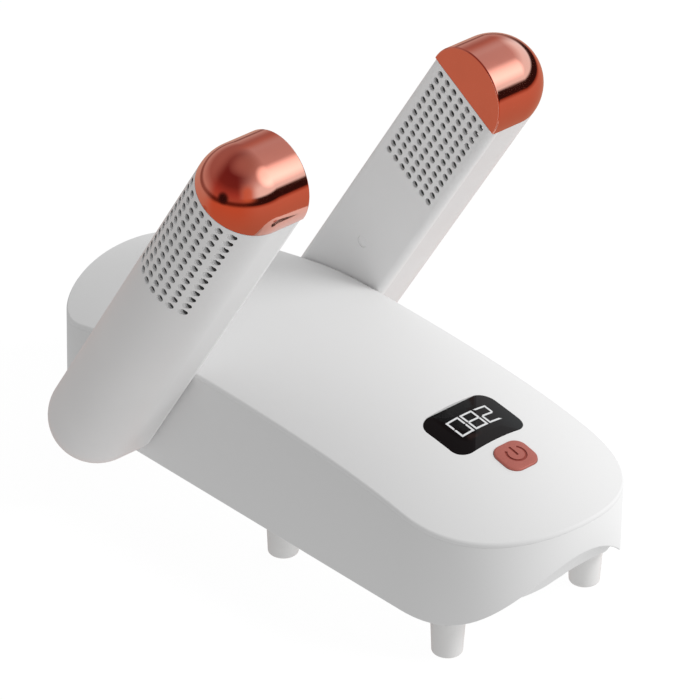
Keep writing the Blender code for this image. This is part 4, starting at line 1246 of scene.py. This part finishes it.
NODE_FINISHES = {
    "power_inlet": "dark_plastic",
    "display_module": "dark_plastic",
    "tact_switch": "dark_plastic",
    "blower_impeller": "dark_plastic",
    "blower_scroll": "grey_plastic",
    "blower_lid": "grey_plastic",
    "air_manifold": "grey_plastic",
    "heater_frame": "mica",
    "heater_core": "fins",
    "blower_motor": "steel",
    "impeller_shaft": "steel",
    "intake_filter": "foam",
    "control_board": "board",
    "inlet_pin_left": "brass",
    "inlet_pin_right": "brass",
}
for corner in POSTS:
    NODE_FINISHES[f"tray_screw_{corner}"] = "steel"
for side in ("left", "right"):
    NODE_FINISHES[f"{side}_spigot"] = "grey_plastic"
    NODE_FINISHES[f"{side}_seal_ring"] = "rubber"
    NODE_FINISHES[f"{side}_friction_washer"] = "rubber"
    NODE_FINISHES[f"{side}_retaining_ring"] = "steel"


def finish_nodes():
    for name, finish in NODE_FINISHES.items():
        for holder in NODES[name].material_slots:
            holder.material = FINISHES[finish]


# ---------------- stage


def direction(azimuth, elevation):
    """A unit vector; azimuth 0 is the front (-Y), and it grows towards +X."""
    level = math.cos(elevation)
    return Vector((level * math.sin(azimuth), -level * math.cos(azimuth), math.sin(elevation)))


def make_camera():
    turn, rise, roll = CAMERA_AZIMUTH, CAMERA_ELEVATION, CAMERA_ROLL
    forward = Vector((
        -math.sin(turn) * math.cos(rise), math.cos(turn) * math.cos(rise), -math.sin(rise)
    ))
    level = Vector((math.cos(turn), math.sin(turn), 0.0))
    upright = level.cross(forward)
    right = level * math.cos(roll) + upright * math.sin(roll)
    up = upright * math.cos(roll) - level * math.sin(roll)
    aim = CAMERA_AIM + right * CAMERA_RIGHT + up * CAMERA_UP
    place = Matrix((right, up, -forward)).transposed().to_4x4()
    place.translation = aim - forward * CAMERA_DISTANCE
    data = bpy.data.cameras.new("camera")
    data.lens = CAMERA_LENS
    data.sensor_width = 36.0
    data.clip_start = 0.05
    data.clip_end = 100.0
    camera = add_object("camera", data)
    camera.matrix_world = place
    bpy.context.scene.camera = camera


def make_key_light():
    data = bpy.data.lights.new("key_light", "AREA")
    data.shape = "DISK"
    data.size = LIGHT_SIZE
    data.energy = LIGHT_POWER
    light = add_object("key_light", data)
    towards = direction(LIGHT_AZIMUTH, LIGHT_ELEVATION)
    light.location = LIGHT_AIM + towards * LIGHT_DISTANCE
    light.rotation_euler = towards.to_track_quat("Z", "Y").to_euler()
    light.visible_glossy = False


RIGHT_SKY = (
    (0.0, (0.45, 0.20, 0.13)),
    (0.40, (0.60, 0.24, 0.16)),
    (0.445, (0.36, 0.09, 0.05)),
    (0.467, (0.03, 0.01, 0.01)),
    (0.583, (0.03, 0.012, 0.01)),
    (0.62, (0.95, 1.12, 1.17)),
    (0.75, (0.95, 1.08, 1.13)),
    (0.875, (0.62, 0.50, 0.50)),
    (1.0, (0.40, 0.25, 0.22)),
)
LEFT_SKY = (
    (0.0, (0.45, 0.18, 0.11)),
    (0.42, (0.56, 0.16, 0.08)),
    (0.475, (0.11, 0.022, 0.013)),
    (0.51, (0.11, 0.022, 0.013)),
    (0.56, (0.42, 0.12, 0.08)),
    (0.66, (0.36, 0.08, 0.06)),
    (0.80, (0.18, 0.035, 0.03)),
    (0.93, (0.16, 0.03, 0.03)),
    (1.0, (0.38, 0.20, 0.18)),
)
REAR_SKY = (
    (0.0, (0.45, 0.20, 0.13)),
    (0.35, (0.55, 0.30, 0.22)),
    (0.46, (0.55, 0.36, 0.30)),
    (0.485, (0.25, 0.12, 0.10)),
    (0.52, (0.25, 0.12, 0.10)),
    (0.56, (0.55, 0.38, 0.34)),
    (0.70, (0.35, 0.17, 0.15)),
    (1.0, (0.38, 0.20, 0.18)),
)
WARM_PANEL = (0.62, 0.20, 0.10)
DARK_SPOT = (0.03, 0.01, 0.01)


def make_world():
    """Soft light all round, and a studio of panels that only glossy surfaces see."""
    world = bpy.data.worlds.new("studio")
    bpy.context.scene.world = world
    world.use_nodes = True
    world.cycles.sampling_method = "NONE"
    tree = world.node_tree
    backdrop = tree.nodes["Background"]
    towards = tree.nodes.new("ShaderNodeTexCoord").outputs["Generated"]
    height = add_node(tree, "SeparateXYZ", towards).outputs[2]

    def along(vector):
        return dot_product(tree, towards, vector)

    soft = math_node(tree, "ADD", along(AMBIENT_SLOPE), AMBIENT)
    level = math_node(tree, "MULTIPLY_ADD", height, 0.5, 0.5)
    right = smooth_step(tree, along(direction(RIGHT_PANEL_AZIMUTH, 0.0)), -0.35, 0.55)
    panels = mix_colours(
        tree, right, colour_ramp(tree, level, LEFT_SKY), colour_ramp(tree, level, RIGHT_SKY)
    )
    between = math_node(tree, "MULTIPLY", right, smooth_step(tree, right, 0.0, 1.0, 4.0, 0.0))
    low = smooth_step(tree, level, 0.50, 0.60)
    high = smooth_step(tree, level, 0.72, 0.90, 1.0, 0.0)
    between = math_node(tree, "MULTIPLY", between, math_node(tree, "MULTIPLY", low, high))
    between = math_node(tree, "MINIMUM", between, WARM_PANEL_SHARE)
    panels = mix_colours(tree, between, panels, WARM_PANEL)
    rear = smooth_step(tree, along(direction(math.pi, 0.0)), 0.3, 0.8)
    panels = mix_colours(tree, rear, panels, colour_ramp(tree, level, REAR_SKY))
    spot = smooth_step(tree, along(direction(SPOT_AZIMUTH, SPOT_ELEVATION)), 0.96, 0.995)
    panels = mix_colours(tree, spot, panels, DARK_SPOT)
    lamp = along(direction(LAMP_AZIMUTH, LAMP_ELEVATION))
    glow = smooth_step(tree, lamp, 0.90, 0.99, 0.0, LAMP_GLOW)
    panels = add_node(tree, "VectorMath", panels, None, operation="ADD")
    tree.links.new(glow, panels.inputs[1])
    path = tree.nodes.new("ShaderNodeLightPath")
    lit = mix_colours(tree, path.outputs["Is Glossy Ray"], soft, panels.outputs[0])
    seen = mix_colours(tree, path.outputs["Is Camera Ray"], lit, (1.0, 1.0, 1.0))
    tree.links.new(seen, backdrop.inputs["Color"])


def make_floor():
    """A pale sweep that glows a little, so that only a faint shadow shows on it."""
    shape = bmesh.new()
    bmesh.ops.create_grid(shape, x_segments=8, y_segments=8, size=FLOOR_HALF_SIZE)
    floor = add_object("studio_floor", mesh_from("studio_floor", shape))
    colour = (0.09, 0.09, 0.09)
    material, tree, shader = new_finish("studio_floor", colour, 1.0)
    vary(tree, shader, colour, 0.01, 2.0)
    shader.inputs["Specular IOR Level"].default_value = 0.0
    shader.inputs["Emission Color"].default_value = (1.0, 1.0, 1.0, 1.0)
    shader.inputs["Emission Strength"].default_value = FLOOR_GLOW
    floor.data.materials.append(material)
    floor.visible_glossy = False
    floor.visible_diffuse = False


def build():
    make_housing()
    make_cover()
    make_tray()
    make_feet()
    make_window()
    make_digits()
    make_button()
    make_arms()
    finish_nodes()
    make_camera()
    make_key_light()
    make_world()
    make_floor()
    bpy.context.scene.view_settings.view_transform = "Standard"


build()
